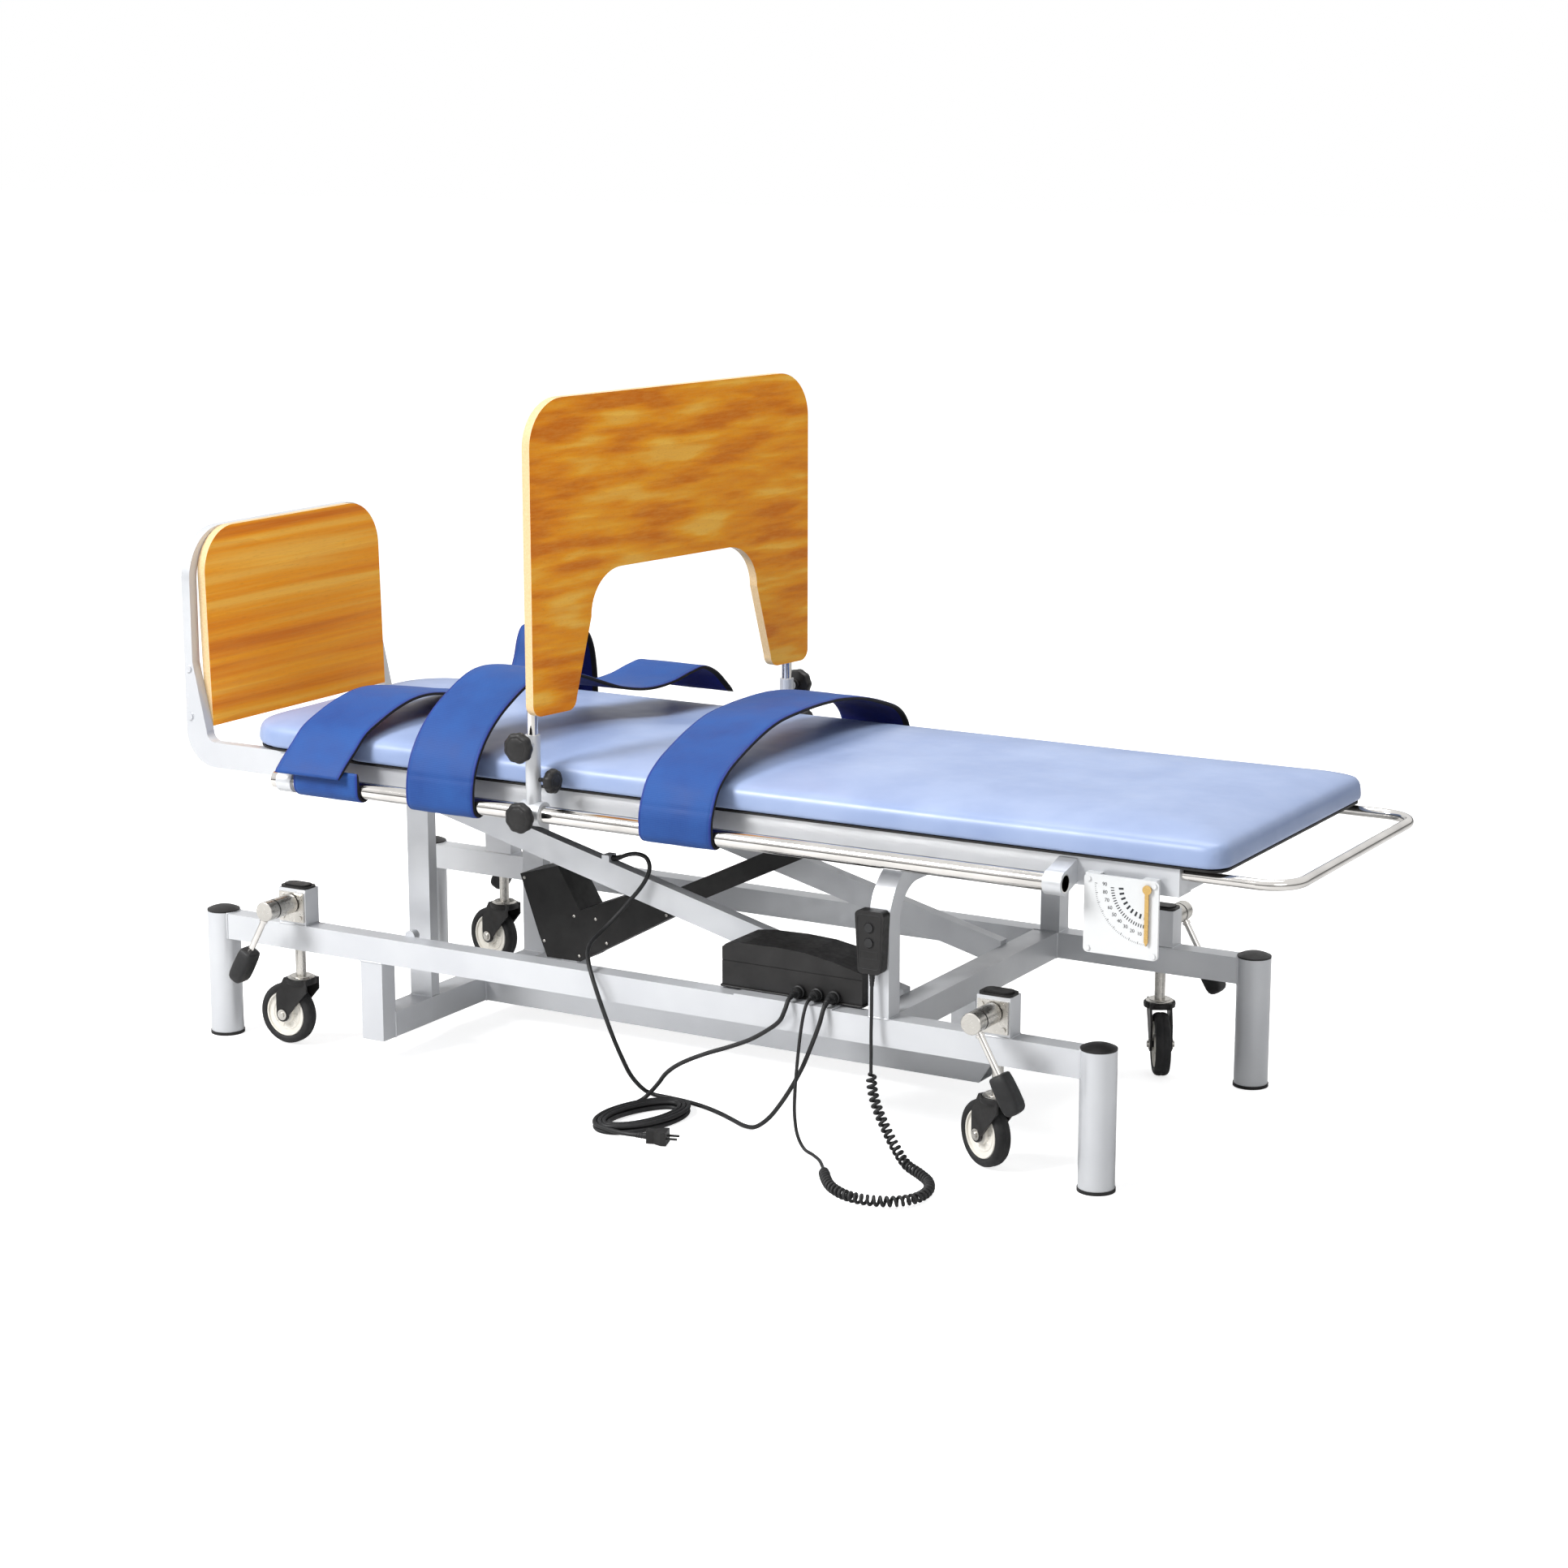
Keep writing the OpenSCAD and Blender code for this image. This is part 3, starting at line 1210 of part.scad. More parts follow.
// Activity board, its posts and the clamps that slide on the side tubes
post_foot = 31;
post_z0 = side_tube_z + side_r + post_foot;
board_z = bed_z0 + board_rise;
board_skew = atan((near_post_x - far_post_x) / (2 * side_tube_y));
board_mid = -(near_post_x + far_post_x) / 2;
board_span = side_tube_y / cos(board_skew);
fix_t = 2;
fix_w = 30;
fix_h = 40;
fix_shares = [0.08, 0.35];
post_share = 0.4;
arch_foot_share = 0.708;
arch_bend_share = 0.39;
arch_r = 84;
leg_tip_r = 22;
function post_x(side) = side < 0 ? -near_post_x : -far_post_x;
module on_board() {
    translate([board_mid, 0, board_z]) rotate([0, 0, -board_skew]) children();
}
module board_outline() {
    foot = arch_foot_share * board_y;
    bend = arch_bend_share * board_y;
    shoulder = board_h - board_r;
    difference() {
        union() {
            translate([-board_y, leg_tip_r]) square([2 * board_y, shoulder - leg_tip_r]);
            translate([board_r - board_y, shoulder]) square([2 * (board_y - board_r), board_r]);
            for (side = [-1, 1]) {
                translate([side * (board_y - board_r), shoulder]) circle(board_r, $fn = 96);
                translate([side * (board_y - leg_tip_r), leg_tip_r]) circle(leg_tip_r);
                translate([side * (foot + leg_tip_r), leg_tip_r]) circle(leg_tip_r);
                translate([side > 0 ? foot + leg_tip_r : leg_tip_r - board_y, 0])
                    square([board_y - foot - 2 * leg_tip_r, leg_tip_r]);
            }
        }
        polygon([
            [-foot, leg_tip_r - cut], [foot, leg_tip_r - cut],
            [bend + arch_r, arch_h - arch_r], [bend, arch_h],
            [-bend, arch_h], [-bend - arch_r, arch_h - arch_r]]);
        for (side = [-1, 1]) translate([side * bend, arch_h - arch_r]) circle(arch_r, $fn = 96);
    }
}
module activity_board() color(oak)
    on_board() translate([post_r + fix_t, 0, 0]) rotate([90, 0, 90])
        linear_extrude(wood_t) board_outline();
module board_posts() color("lightgray") {
    for (side = [-1, 1])
        translate([post_x(side), side * side_tube_y, post_z0])
            cylinder(h = board_z + post_share * board_h - post_z0, r = post_r);
    on_board() for (side = [-1, 1], share = fix_shares)
        translate([post_r / 2, side * board_span - fix_w / 2, share * board_h])
            cube([post_r / 2 + fix_t, fix_w, fix_h]);
}
clamp_l = 45;
clamp_t = 7;
clamp_r = side_r + clamp_t;
sleeve_r = 14;
sleeve_up = 146;
stud_r = 4;
knob_neck = 10;
post_knob_up = 129;
sleeve_knob_up = 64;
knob_off = 34;
sleeve_knob_off = 31;
sleeve_knob_share = 0.8;
module board_clamps() color(silver)
    for (side = [-1, 1]) translate([post_x(side), side * side_tube_y, side_tube_z]) difference() {
        union() {
            translate([-clamp_l / 2, 0, 0]) rotate([0, 90, 0]) cylinder(h = clamp_l, r = clamp_r);
            cylinder(h = sleeve_up, r = sleeve_r);
            translate([0, 0, post_knob_up])
                rod_y(side > 0 ? 0 : -sleeve_r - stud_r, sleeve_r + stud_r, knob_neck);
        }
        translate([-clamp_l, 0, 0]) rotate([0, 90, 0]) cylinder(h = 2 * clamp_l, r = side_r + fit);
        translate([0, 0, side_r + stud_r]) cylinder(h = sleeve_up, r = post_r + fit);
        translate([0, 0, post_knob_up]) rod_y(side > 0 ? 0 : -2 * clamp_r, 2 * clamp_r, stud_r + fit);
        rod_y(side > 0 ? 0 : -2 * clamp_r, 2 * clamp_r, stud_r + fit);
        translate([0, 0, sleeve_knob_up]) rotate([0, 90, 0]) cylinder(h = 2 * clamp_r, r = stud_r + fit);
    }

// Knob along Z with its stud tip at z = tip and its head from z = off
knob_edge = 5;
module knob(tip, off, r) {
    translate([0, 0, tip]) cylinder(h = off - tip + cut, r = stud_r);
    rotate_extrude() {
        translate([0, off - knob_neck / 2]) square([knob_neck, knob_neck]);
        translate([0, off]) square([r - knob_edge, knob_t]);
        translate([0, off + knob_edge]) square([r, knob_t - 2 * knob_edge]);
        for (z = [off + knob_edge, off + knob_t - knob_edge])
            translate([r - knob_edge, z]) circle(knob_edge);
    }
}
module side_knob(side, up, tip) {
    translate([post_x(side), side * side_tube_y, side_tube_z + up]) rotate([-side * 90, 0, 0])
        knob(tip, knob_off, knob_d / 2);
}
module sleeve_knob(side) {
    translate([post_x(side), side * side_tube_y, side_tube_z + sleeve_knob_up]) rotate([0, 90, 0])
        knob(post_r + near_gap, sleeve_knob_off, sleeve_knob_share * knob_d / 2);
}
module post_knob_near() color(black) side_knob(-1, post_knob_up, post_r + near_gap);
module post_knob_far() color(black) side_knob(1, post_knob_up, post_r + near_gap);
module sleeve_knob_near() color(black) sleeve_knob(-1);
module sleeve_knob_far() color(black) sleeve_knob(1);
module tube_knob_near() color(black) side_knob(-1, 0, side_r + near_gap);
module tube_knob_far() color(black) side_knob(1, 0, side_r + near_gap);

// Straps: each loops under a side tube and arches over the mattress
strap_arch = 78;
strap_z0 = mattress_z0 + mattress_t + crown + near_gap + strap_t / 2;
loop_steps = 6;
loop_r = (side_r + near_gap) / cos(90 / loop_steps) + strap_t / 2;
strap_foot_x = -760;
strap_knee_x = -493;
strap_hip_x = -720;
strap_chest_x = 15;
foot_shares = [
    [0, -1.1, -0.6], [0, -1.05, -0.1], [-0.01, -0.96, 0.25], [-0.12, -0.75, 0.62],
    [-0.05, -0.45, 0.82], [0.1, -0.15, 0.85], [0.24, 0.15, 0.6], [0.36, 0.42, 0.25],
    [0.45, 0.62, 0.02]];
knee_shares = [
    [0, -1.1, -0.6], [0, -1.05, -0.1], [0, -0.97, 0.25], [0.02, -0.8, 0.62],
    [0.05, -0.55, 0.95], [0.1, -0.3, 1.08], [0.2, -0.1, 0.95], [0.35, 0.08, 0.6],
    [0.55, 0.22, 0.25], [0.8, 0.35, 0.05], [1.05, 0.5, 0.02], [1.25, 0.62, 0.14],
    [1.4, 0.74, 0.2], [1.5, 0.84, 0.06]];
hip_shares = [
    [0, 1.13, -0.5], [0, 1.12, 0.1], [0, 1.09, 0.7], [0, 1.03, 1.12], [0, 0.97, 1.15],
    [0, 0.93, 0.85], [0, 0.89, 0.4], [0, 0.83, 0.06], [0, 0.74, 0.01]];
chest_shares = [
    [0, -1.1, -0.6], [0, -1.055, -0.15], [0, -0.98, 0.18], [0, -0.82, 0.5], [0, -0.6, 0.78],
    [0, -0.3, 0.94], [0, 0.1, 1], [0, 0.45, 0.86], [0, 0.75, 0.52], [0, 0.95, 0.2],
    [0, 1.055, -0.15], [0, 1.1, -0.6]];
function tube_loop(x, side) =
    [for (i = [0:loop_steps]) let (a = -180 * i / loop_steps)
        [x, side * (side_tube_y - loop_r * cos(a)), side_tube_z + loop_r * sin(a)]];
function over_bed(x, shares) =
    [for (p = shares) [x + p[0] * strap_w, p[1] * mattress_y, strap_z0 + p[2] * strap_arch]];
function backwards(p) = [for (i = [len(p) - 1:-1:0]) p[i]];
module strap(p) color(webbing) {
    skin([for (i = [0:len(p) - 1])
        let (
            t = heading([for (q = p) [0, q[1], q[2]]], i),
            n = strap_t / 2 * [0, t[2], -t[1]],
            w = [strap_w / 2, 0, 0])
        [p[i] + w + n, p[i] - w + n, p[i] - w - n, p[i] + w - n]]);
}
module strap_foot()
    strap(concat(tube_loop(strap_foot_x, -1), over_bed(strap_foot_x, foot_shares)));
module strap_knee()
    strap(concat(tube_loop(strap_knee_x, -1), over_bed(strap_knee_x, knee_shares)));
module strap_hip()
    strap(concat(tube_loop(strap_hip_x, 1), over_bed(strap_hip_x, hip_shares)));
module strap_chest()
    strap(concat(tube_loop(strap_chest_x, -1), over_bed(strap_chest_x, chest_shares),
        backwards(tube_loop(strap_chest_x, 1))));

side_rails();
centre_frame();
tilt_stands();
head_hoop();
hinge_pins();
corner_legs();
leg_feet();
tube_caps();
caster_plates();
control_box();
handset();
button_up();
button_down();
motor_cord();
mains_cord();
mains_coil();
mains_plug();
handset_lead();
handset_curl();
caster_stem(0);  // caster_stem_1
caster_stem(1);  // caster_stem_2
caster_stem(2);  // caster_stem_3
caster_stem(3);  // caster_stem_4
caster_fork(0);  // caster_fork_1
caster_fork(1);  // caster_fork_2
caster_fork(2);  // caster_fork_3
caster_fork(3);  // caster_fork_4
caster_wheel(0);  // caster_wheel_1
caster_wheel(1);  // caster_wheel_2
caster_wheel(2);  // caster_wheel_3
caster_wheel(3);  // caster_wheel_4
pedal_lever(0);  // pedal_lever_1
pedal_lever(1);  // pedal_lever_2
pedal_lever(2);  // pedal_lever_3
pedal_lever(3);  // pedal_lever_4
bed_frame();
mattress_board();
mattress();
side_tubes();
tube_brackets();
head_handle();
foot_frame();
footboard();
actuator_housing();
actuator_rod();
dial_plate();
dial_pointer();
activity_board();
board_posts();
board_clamps();
post_knob_near();
post_knob_far();
sleeve_knob_near();
sleeve_knob_far();
tube_knob_near();
tube_knob_far();
strap_foot();
strap_knee();
strap_hip();
strap_chest();
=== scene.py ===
"""Physiotherapy tilt table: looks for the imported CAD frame.

Metres. X runs from the footboard to the head end, Y from the near side to the far side and Z up.
"""

import math

import bpy
import bmesh
from mathutils import Matrix, Vector, noise


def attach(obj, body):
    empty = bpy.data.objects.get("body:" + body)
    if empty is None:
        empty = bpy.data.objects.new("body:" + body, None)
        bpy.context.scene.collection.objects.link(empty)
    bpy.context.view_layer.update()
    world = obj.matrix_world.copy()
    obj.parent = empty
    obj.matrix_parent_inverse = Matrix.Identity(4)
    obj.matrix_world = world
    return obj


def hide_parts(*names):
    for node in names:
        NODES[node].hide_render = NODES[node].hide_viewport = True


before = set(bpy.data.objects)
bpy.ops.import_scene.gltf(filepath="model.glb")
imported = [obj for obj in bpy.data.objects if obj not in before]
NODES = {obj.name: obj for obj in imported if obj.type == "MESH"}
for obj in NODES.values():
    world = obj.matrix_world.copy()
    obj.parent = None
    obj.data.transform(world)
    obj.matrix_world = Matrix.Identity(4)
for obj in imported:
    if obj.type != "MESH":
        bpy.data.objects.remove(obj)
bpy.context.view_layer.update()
TAU = 2 * math.pi

# Places that several pieces share
RAIL_Y = 0.3425  # middle of the base rails, legs and casters, to either side
TUBE_Y, TUBE_Z = 0.365, 0.531  # middle of the side tubes
FOOT_CASTER_X, HEAD_CASTER_X = -0.86, 0.646


def new_object(name, data):
    o = bpy.data.objects.new(name, data)
    bpy.context.collection.objects.link(o)
    return o


# Camera at the photograph's angle
CAMERA_DOWN, CAMERA_TURN = 0.2111, 0.5268
camera = new_object("camera", bpy.data.cameras.new("camera"))
camera.location = (3.0057, -5.1265, 1.8226)
camera.rotation_euler = (math.pi / 2 - CAMERA_DOWN, 0, CAMERA_TURN)
camera.data.lens = 74.53
camera.data.clip_start = 0.05
bpy.context.scene.camera = camera
bpy.context.scene.view_settings.view_transform = "Standard"


# Materials
def rgb(r, g, b):
    """Linear colour from 0 to 255 screen values."""
    return tuple(
        (v / 12.92 if v <= 0.04045 else ((v + 0.055) / 1.055) ** 2.4)
        for v in (r / 255, g / 255, b / 255)
    ) + (1,)


def feed(tree, socket, value):
    """Links an input to another node's output, or sets its value."""
    if isinstance(value, bpy.types.NodeSocket):
        tree.links.new(value, socket)
    else:
        socket.default_value = value


def new_node(tree, kind, inputs=None, **props):
    n = tree.nodes.new("ShaderNode" + kind)
    for key, value in props.items():
        setattr(n, key, value)
    for key, value in (inputs or {}).items():
        feed(tree, n.inputs[key], value)
    return n


def colour_ramp(tree, fac, stops):
    """Adds a colour ramp; each stop is a position with a colour or a grey level."""
    n = new_node(tree, "ValToRGB", {"Fac": fac})
    while len(n.color_ramp.elements) < len(stops):
        n.color_ramp.elements.new(0.5)
    for e, (at, colour) in zip(n.color_ramp.elements, stops):
        e.position = at
        e.color = colour if isinstance(colour, tuple) else (colour, colour, colour, 1)
    return n.outputs["Color"]


M = {}


class Mat:
    """A node material built a step at a time, kept in M under its name."""

    def __init__(self, name, colour, rough=0.5, metal=0.0, **sockets):
        mat = M[name] = bpy.data.materials.new(name)
        mat.use_nodes = True
        self.tree = mat.node_tree
        self.bsdf = self.tree.nodes["Principled BSDF"]
        self.set("Base Color", colour)
        self.set("Roughness", rough)
        self.set("Metallic", metal)
        for key, value in sockets.items():
            self.set(key.replace("_", " "), value)
        mat.diffuse_color = colour

    def set(self, socket, value):
        feed(self.tree, self.bsdf.inputs[socket], value)

    def node(self, kind, inputs=None, out=0, **props):
        return new_node(self.tree, kind, inputs, **props).outputs[out]

    def coords(self, kind="Object", scale=(1, 1, 1), turn=(0, 0, 0)):
        v = self.node("TexCoord", out=kind)
        return self.node("Mapping", {"Vector": v, "Scale": scale, "Rotation": turn})

    def noise(self, scale, detail=3.0, vector=None, rough=0.5, distort=0.0):
        inputs = {"Vector": vector or self.coords(), "Scale": scale, "Detail": detail,
                  "Roughness": rough, "Distortion": distort}
        return self.node("TexNoise", inputs)

    def ramp(self, fac, *stops):
        return colour_ramp(self.tree, fac, stops)

    def mix(self, fac, a, b):
        """Mixes two colours, whose sockets on the Mix node are 6 and 7, with the result on 2."""
        return self.node("Mix", {0: fac, 6: a, 7: b}, 2, data_type="RGBA")

    def math(self, op, a, b=0.0):
        return self.node("Math", {0: a, 1: b}, operation=op)

    def span(self, value, lo, hi, to_lo=0.0, to_hi=1.0):
        inputs = {"Value": value, "From Min": lo, "From Max": hi, "To Min": to_lo, "To Max": to_hi}
        return self.node("MapRange", inputs)

    def bump(self, height, distance, strength, after=None):
        inputs = {"Height": height, "Distance": distance, "Strength": strength}
        if after is not None:
            inputs["Normal"] = after
        n = self.node("Bump", inputs)
        self.set("Normal", n)
        return n


def painted(name, colour, dark, rough, metal):
    """Powder coat: a broad drift in tone and the fine orange peel of sprayed paint."""
    m = Mat(name, colour, rough, metal)
    wide = m.noise(5, 3)
    m.set("Base Color", m.ramp(wide, (0.35, dark), (0.62, colour)))
    m.set("Roughness", m.span(m.noise(38, 4), 0.3, 0.7, rough - 0.06, rough + 0.08))
    peel = m.bump(m.noise(420, 2), 0.00012, 0.5)
    m.bump(m.noise(60, 2), 0.0003, 0.2, peel)


def metal_mat(name, colour, rough, streak=None, bump=0.3):
    """Plated metal with a fine grain, drawn out by the scales in streak."""
    m = Mat(name, colour, rough, 1.0)
    v = m.coords(scale=streak) if streak else m.coords()
    grain = m.noise(160, 4, v)
    m.set("Roughness", m.span(grain, 0.3, 0.7, rough * 0.75, rough * 1.35))
    dark = tuple(c * 0.82 for c in colour[:3]) + (1,)
    m.set("Base Color", m.ramp(m.noise(14, 4), (0.3, dark), (0.65, colour)))
    m.bump(grain, 0.00004, bump)


def plastic(name, colour, rough, grain=900, depth=0.00008, light=None):
    """Moulded plastic or rubber with a fine grain; light is the tone of its worn patches."""
    m = Mat(name, colour, rough, 0.0, Specular_IOR_Level=0.35)
    light = light or tuple(min(1, c * 1.6 + 0.004) for c in colour[:3]) + (1,)
    m.set("Base Color", m.ramp(m.noise(25, 5), (0.35, colour), (0.75, light)))
    m.set("Roughness", m.span(m.noise(90, 4), 0.3, 0.7, rough - 0.05, rough + 0.1))
    m.bump(m.noise(grain, 2), depth, 0.6)


painted("silver_paint", rgb(206, 208, 211), rgb(198, 200, 204), 0.34, 0.35)
metal_mat("zinc", rgb(205, 202, 196), 0.3)
metal_mat("chrome", rgb(226, 223, 219), 0.1, (0.2, 1, 1), 0.1)
plastic("black_plastic", rgb(22, 21, 21), 0.45)
plastic("soft_plastic", rgb(24, 24, 25), 0.5, 500)
plastic("button_plastic", rgb(30, 30, 31), 0.4)
plastic("tyre", rgb(27, 27, 28), 0.62, 300, 0.0002)
plastic("hub_white", rgb(228, 224, 214), 0.35, 700, 0.00004, rgb(236, 233, 226))
painted("white_plate", rgb(222, 223, 224), rgb(216, 218, 219), 0.35, 0.0)
metal_mat("brass", rgb(214, 178, 112), 0.28)
plastic("ink", rgb(40, 42, 46), 0.6)


def vinyl():
    """Coated upholstery cloth: a soft mottle, a fine pebbled grain and a slight gloss."""
    low, high = rgb(134, 152, 190), rgb(148, 165, 200)
    m = Mat("blue_vinyl", high, 0.42, 0.0, Coat_Weight=0.12, Coat_Roughness=0.3)
    m.set("Base Color", m.ramp(m.noise(7, 5), (0.35, low), (0.65, high)))
    m.set("Roughness", m.span(m.noise(30, 4), 0.3, 0.7, 0.36, 0.46))
    pebble = m.node("TexVoronoi", {"Vector": m.coords(), "Scale": 620}, feature="DISTANCE_TO_EDGE")
    fine = m.bump(m.span(pebble, 0, 0.25), 0.00003, 0.25)
    m.bump(m.noise(9, 2), 0.001, 0.15, fine)


def webbing(name, low, high, rough=0.62):
    """Woven strap cloth: ribs in UV metres, with the weave's colour change."""
    m = Mat(name, high, rough, 0.0, Sheen_Weight=0.04, Sheen_Roughness=0.4, Specular_IOR_Level=0.3)
    v = m.coords("UV")
    warp, weft = (
        m.node("TexWave", {"Vector": v, "Scale": scale, "Distortion": 0.6, "Detail": 1}, "Fac",
               bands_direction=way)
        for scale, way in ((130, "X"), (95, "Y")))
    weave = m.math("MULTIPLY", warp, weft)
    broad = m.noise(16, 4)
    yarn = m.ramp(weave, (0.1, low), (0.9, high))
    m.set("Base Color", m.mix(0.35, m.ramp(broad, (0.3, low), (0.7, high)), yarn))
    m.set("Roughness", m.span(broad, 0.3, 0.7, rough - 0.08, rough + 0.1))
    near = m.bump(weave, 0.00025, 0.7)
    m.bump(m.noise(60, 4), 0.0009, 0.35, near)


def oak(name, turn):
    """Varnished veneer with its grain across the board and a pale edge band."""
    m = Mat(name, rgb(205, 130, 40), 0.38, 0.0, Coat_Weight=0.05, Coat_Roughness=0.2, Specular_IOR_Level=0.22)
    v = m.coords(scale=(1, 0.08, 1), turn=(turn, 0, 0))
    flow = m.noise(9, 3, v, 0.5, 0.6)
    height = m.node("SeparateXYZ", {0: v}, out=2)
    phase = m.math("ADD", m.math("MULTIPLY", height, 26), m.math("MULTIPLY", flow, 3))
    rings = m.math("FRACT", phase)
    fibre = m.noise(260, 4, m.coords(scale=(1, 0.03, 1)), 0.6)
    pores = m.noise(900, 2, m.coords(scale=(1, 0.05, 1)))
    broad = m.noise(34, 3, m.coords(scale=(1, 0.018, 1), turn=(turn, 0, 0)), 0.45, 0.1)
    wood = m.ramp(broad, (0.36, rgb(214, 116, 8)), (0.47, rgb(238, 146, 16)), (0.56, rgb(246, 164, 28)),
                  (0.66, rgb(252, 194, 76)))
    wood = m.mix(m.span(rings, 0.0, 0.85, 0.0, 0.2), wood, rgb(214, 108, 6))
    wood = m.mix(m.span(fibre, 0.4, 0.7, 0.0, 0.3), wood, rgb(232, 168, 78))
    wood = m.mix(m.span(pores, 0.58, 0.75, 0.0, 0.25), wood, rgb(160, 84, 12))
    edge = m.ramp(fibre, (0.3, rgb(206, 176, 130)), (0.7, rgb(220, 192, 150)))
    side = m.node("SeparateXYZ", {0: m.node("TexCoord", out="Normal")}, out=0)
    face = m.math("GREATER_THAN", m.math("ABSOLUTE", side), 0.8)
    m.set("Base Color", m.mix(face, edge, wood))
    m.set("Roughness", m.span(fibre, 0.3, 0.7, 0.34, 0.46))
    m.bump(m.math("ADD", fibre, pores), 0.00006, 0.4)


vinyl()
webbing("blue_webbing", rgb(21, 60, 126), rgb(36, 81, 148))
webbing("strap_black", rgb(12, 12, 16), rgb(20, 20, 26), 0.8)
# The inner face is the lining's own blue, made a darker navy as painted shade of the strap's underside
webbing("strap_inner_shaded", rgb(6, 18, 92), rgb(12, 32, 124), 0.8)
webbing("strap_edge", rgb(16, 40, 112), rgb(26, 56, 136), 0.55)
oak("oak_veneer", 0.06)
oak("oak_foot", -0.05)


# Mesh helpers
def add(name, verts, faces, mats, smooth=True, uvs=None, index=None):
    """Mesh object; uvs gives a place for each point and index a material for each face."""
    mesh = bpy.data.meshes.new(name)
    mesh.from_pydata([tuple(v) for v in verts], [], faces)
    mesh.validate()
    o = new_object(name, mesh)
    for m in [mats] if isinstance(mats, str) else mats:
        mesh.materials.append(M[m])
    if index is not None:
        for p, i in zip(mesh.polygons, index):
            p.material_index = i
    if smooth:
        mesh.shade_smooth()
    if uvs is not None:
        layer = mesh.uv_layers.new(name="UVMap")
        for loop in mesh.loops:
            layer.data[loop.index].uv = uvs[loop.vertex_index]
    return o


def frame_at(pos, z, x=None):
    """Frame at pos with its Z along z and its X as near to x as it can be."""
    z = Vector(z).normalized()
    x = Vector(x or ((1, 0, 0) if abs(z.x) < 0.9 else (0, 1, 0)))
    x = (x - x.dot(z) * z).normalized()
    y = z.cross(x)
    m = Matrix((x, y, z)).transposed().to_4x4()
    m.translation = Vector(pos)
    return m


def loft(name, rings, mats, uvs=None, index=None):
    """Skin over rings of equal point counts; index gives a material for each strip round the ring."""
    n = len(rings[0])
    verts = [v for r in rings for v in r]
    faces, slots = [], []
    for i in range(len(rings) - 1):
        for j in range(n):
            k = (j + 1) % n
            faces.append((i * n + j, i * n + k, (i + 1) * n + k, (i + 1) * n + j))
            slots.append(index[j] if index else 0)
    faces.append(tuple(reversed(range(n))))
    faces.append(tuple((len(rings) - 1) * n + j for j in range(n)))
    return add(name, verts, faces, mats, True, uvs, slots + [0, 0])


def face_outwards(o, weld=None):
    """Turns all faces outwards, after joining the points closer than weld."""
    bm = bmesh.new()
    bm.from_mesh(o.data)
    if weld:
        bmesh.ops.remove_doubles(bm, verts=bm.verts, dist=weld)
    bmesh.ops.recalc_face_normals(bm, faces=bm.faces)
    bm.to_mesh(o.data)
    bm.free()


def crease(o, angle):
    """Smooth shading with edges kept sharp above an angle in degrees."""
    bm = bmesh.new()
    bm.from_mesh(o.data)
    for e in bm.edges:
        e.smooth = e.calc_face_angle(0) <= math.radians(angle)
    for f in bm.faces:
        f.smooth = True
    bm.to_mesh(o.data)
    bm.free()


def lathe(name, profile, at, mats, seg=48, index=None, lobes=0, depth=0.0):
    """Turns (radius, height) points about the local Z of at; index gives a material for each step.

    The radius dips by depth, as a share of it, between the lobes.
    """
    verts = []
    for j in range(seg):
        a = TAU * j / seg
        wave = 1 - depth * (0.5 - 0.5 * math.cos(lobes * a))
        verts += [at @ Vector((r * wave * math.cos(a), r * wave * math.sin(a), h)) for r, h in profile]
    n = len(profile)
    faces, slots = [], []
    for i in range(seg):
        k = (i + 1) % seg
        for j in range(n - 1):
            faces.append((i * n + j, k * n + j, k * n + j + 1, i * n + j + 1))
            slots.append(index[j] if index else 0)
    o = add(name, verts, faces, mats, True, None, slots)
    face_outwards(o, 1e-6)
    crease(o, 35)
    return o


def bevel(o, width):
    b = o.modifiers.new("bevel", "BEVEL")
    b.width = width
    b.segments = 2
    b.limit_method = "ANGLE"
    b.angle_limit = math.radians(35)
    b.harden_normals = True
    b.use_clamp_overlap = True


def put(o, body, slot_name, *nodes):
    """Rides a piece on a body, in place of the CAD nodes named; slot_name is not used."""
    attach(o, body)
    if nodes:
        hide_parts(*nodes)
    return o


def spline(points, step):
    """Smooth line through the points, evenly respaced."""
    pts = [Vector(p) for p in points]
    fine = []
    n = len(pts)
    for i in range(n - 1):
        a, b, c, d = pts[max(i - 1, 0)], pts[i], pts[i + 1], pts[min(i + 2, n - 1)]
        for k in range(12):
            f = k / 12
            fine.append(0.5 * (2 * b + (c - a) * f + (2 * a - 5 * b + 4 * c - d) * f * f
                               + (3 * b - a - 3 * c + d) * f**3))
    fine.append(pts[-1])
    return respace(fine, step)


def respace(pts, step):
    """The line resampled at equal steps, as near to step as its length allows."""
    lengths = [0.0]
    for a, b in zip(pts, pts[1:]):
        lengths.append(lengths[-1] + (b - a).length)
    count = max(2, round(lengths[-1] / step))
    out, k = [], 0
    for i in range(count + 1):
        at = lengths[-1] * i / count
        while k < len(pts) - 2 and lengths[k + 1] < at:
            k += 1
        span = lengths[k + 1] - lengths[k] or 1e-9
        out.append(pts[k].lerp(pts[k + 1], (at - lengths[k]) / span))
    return out


def length_of(pts):
    return sum((b - a).length for a, b in zip(pts, pts[1:]))


def tangents(pts):
    n = len(pts)
    return [(pts[min(i + 1, n - 1)] - pts[max(i - 1, 0)]).normalized() for i in range(n)]


def unit_circle(seg):
    return [(math.cos(TAU * j / seg), math.sin(TAU * j / seg)) for j in range(seg)]


def circle(seg, a, b):
    """Directions round a circle from a towards b."""
    return [c * a + s * b for c, s in unit_circle(seg)]


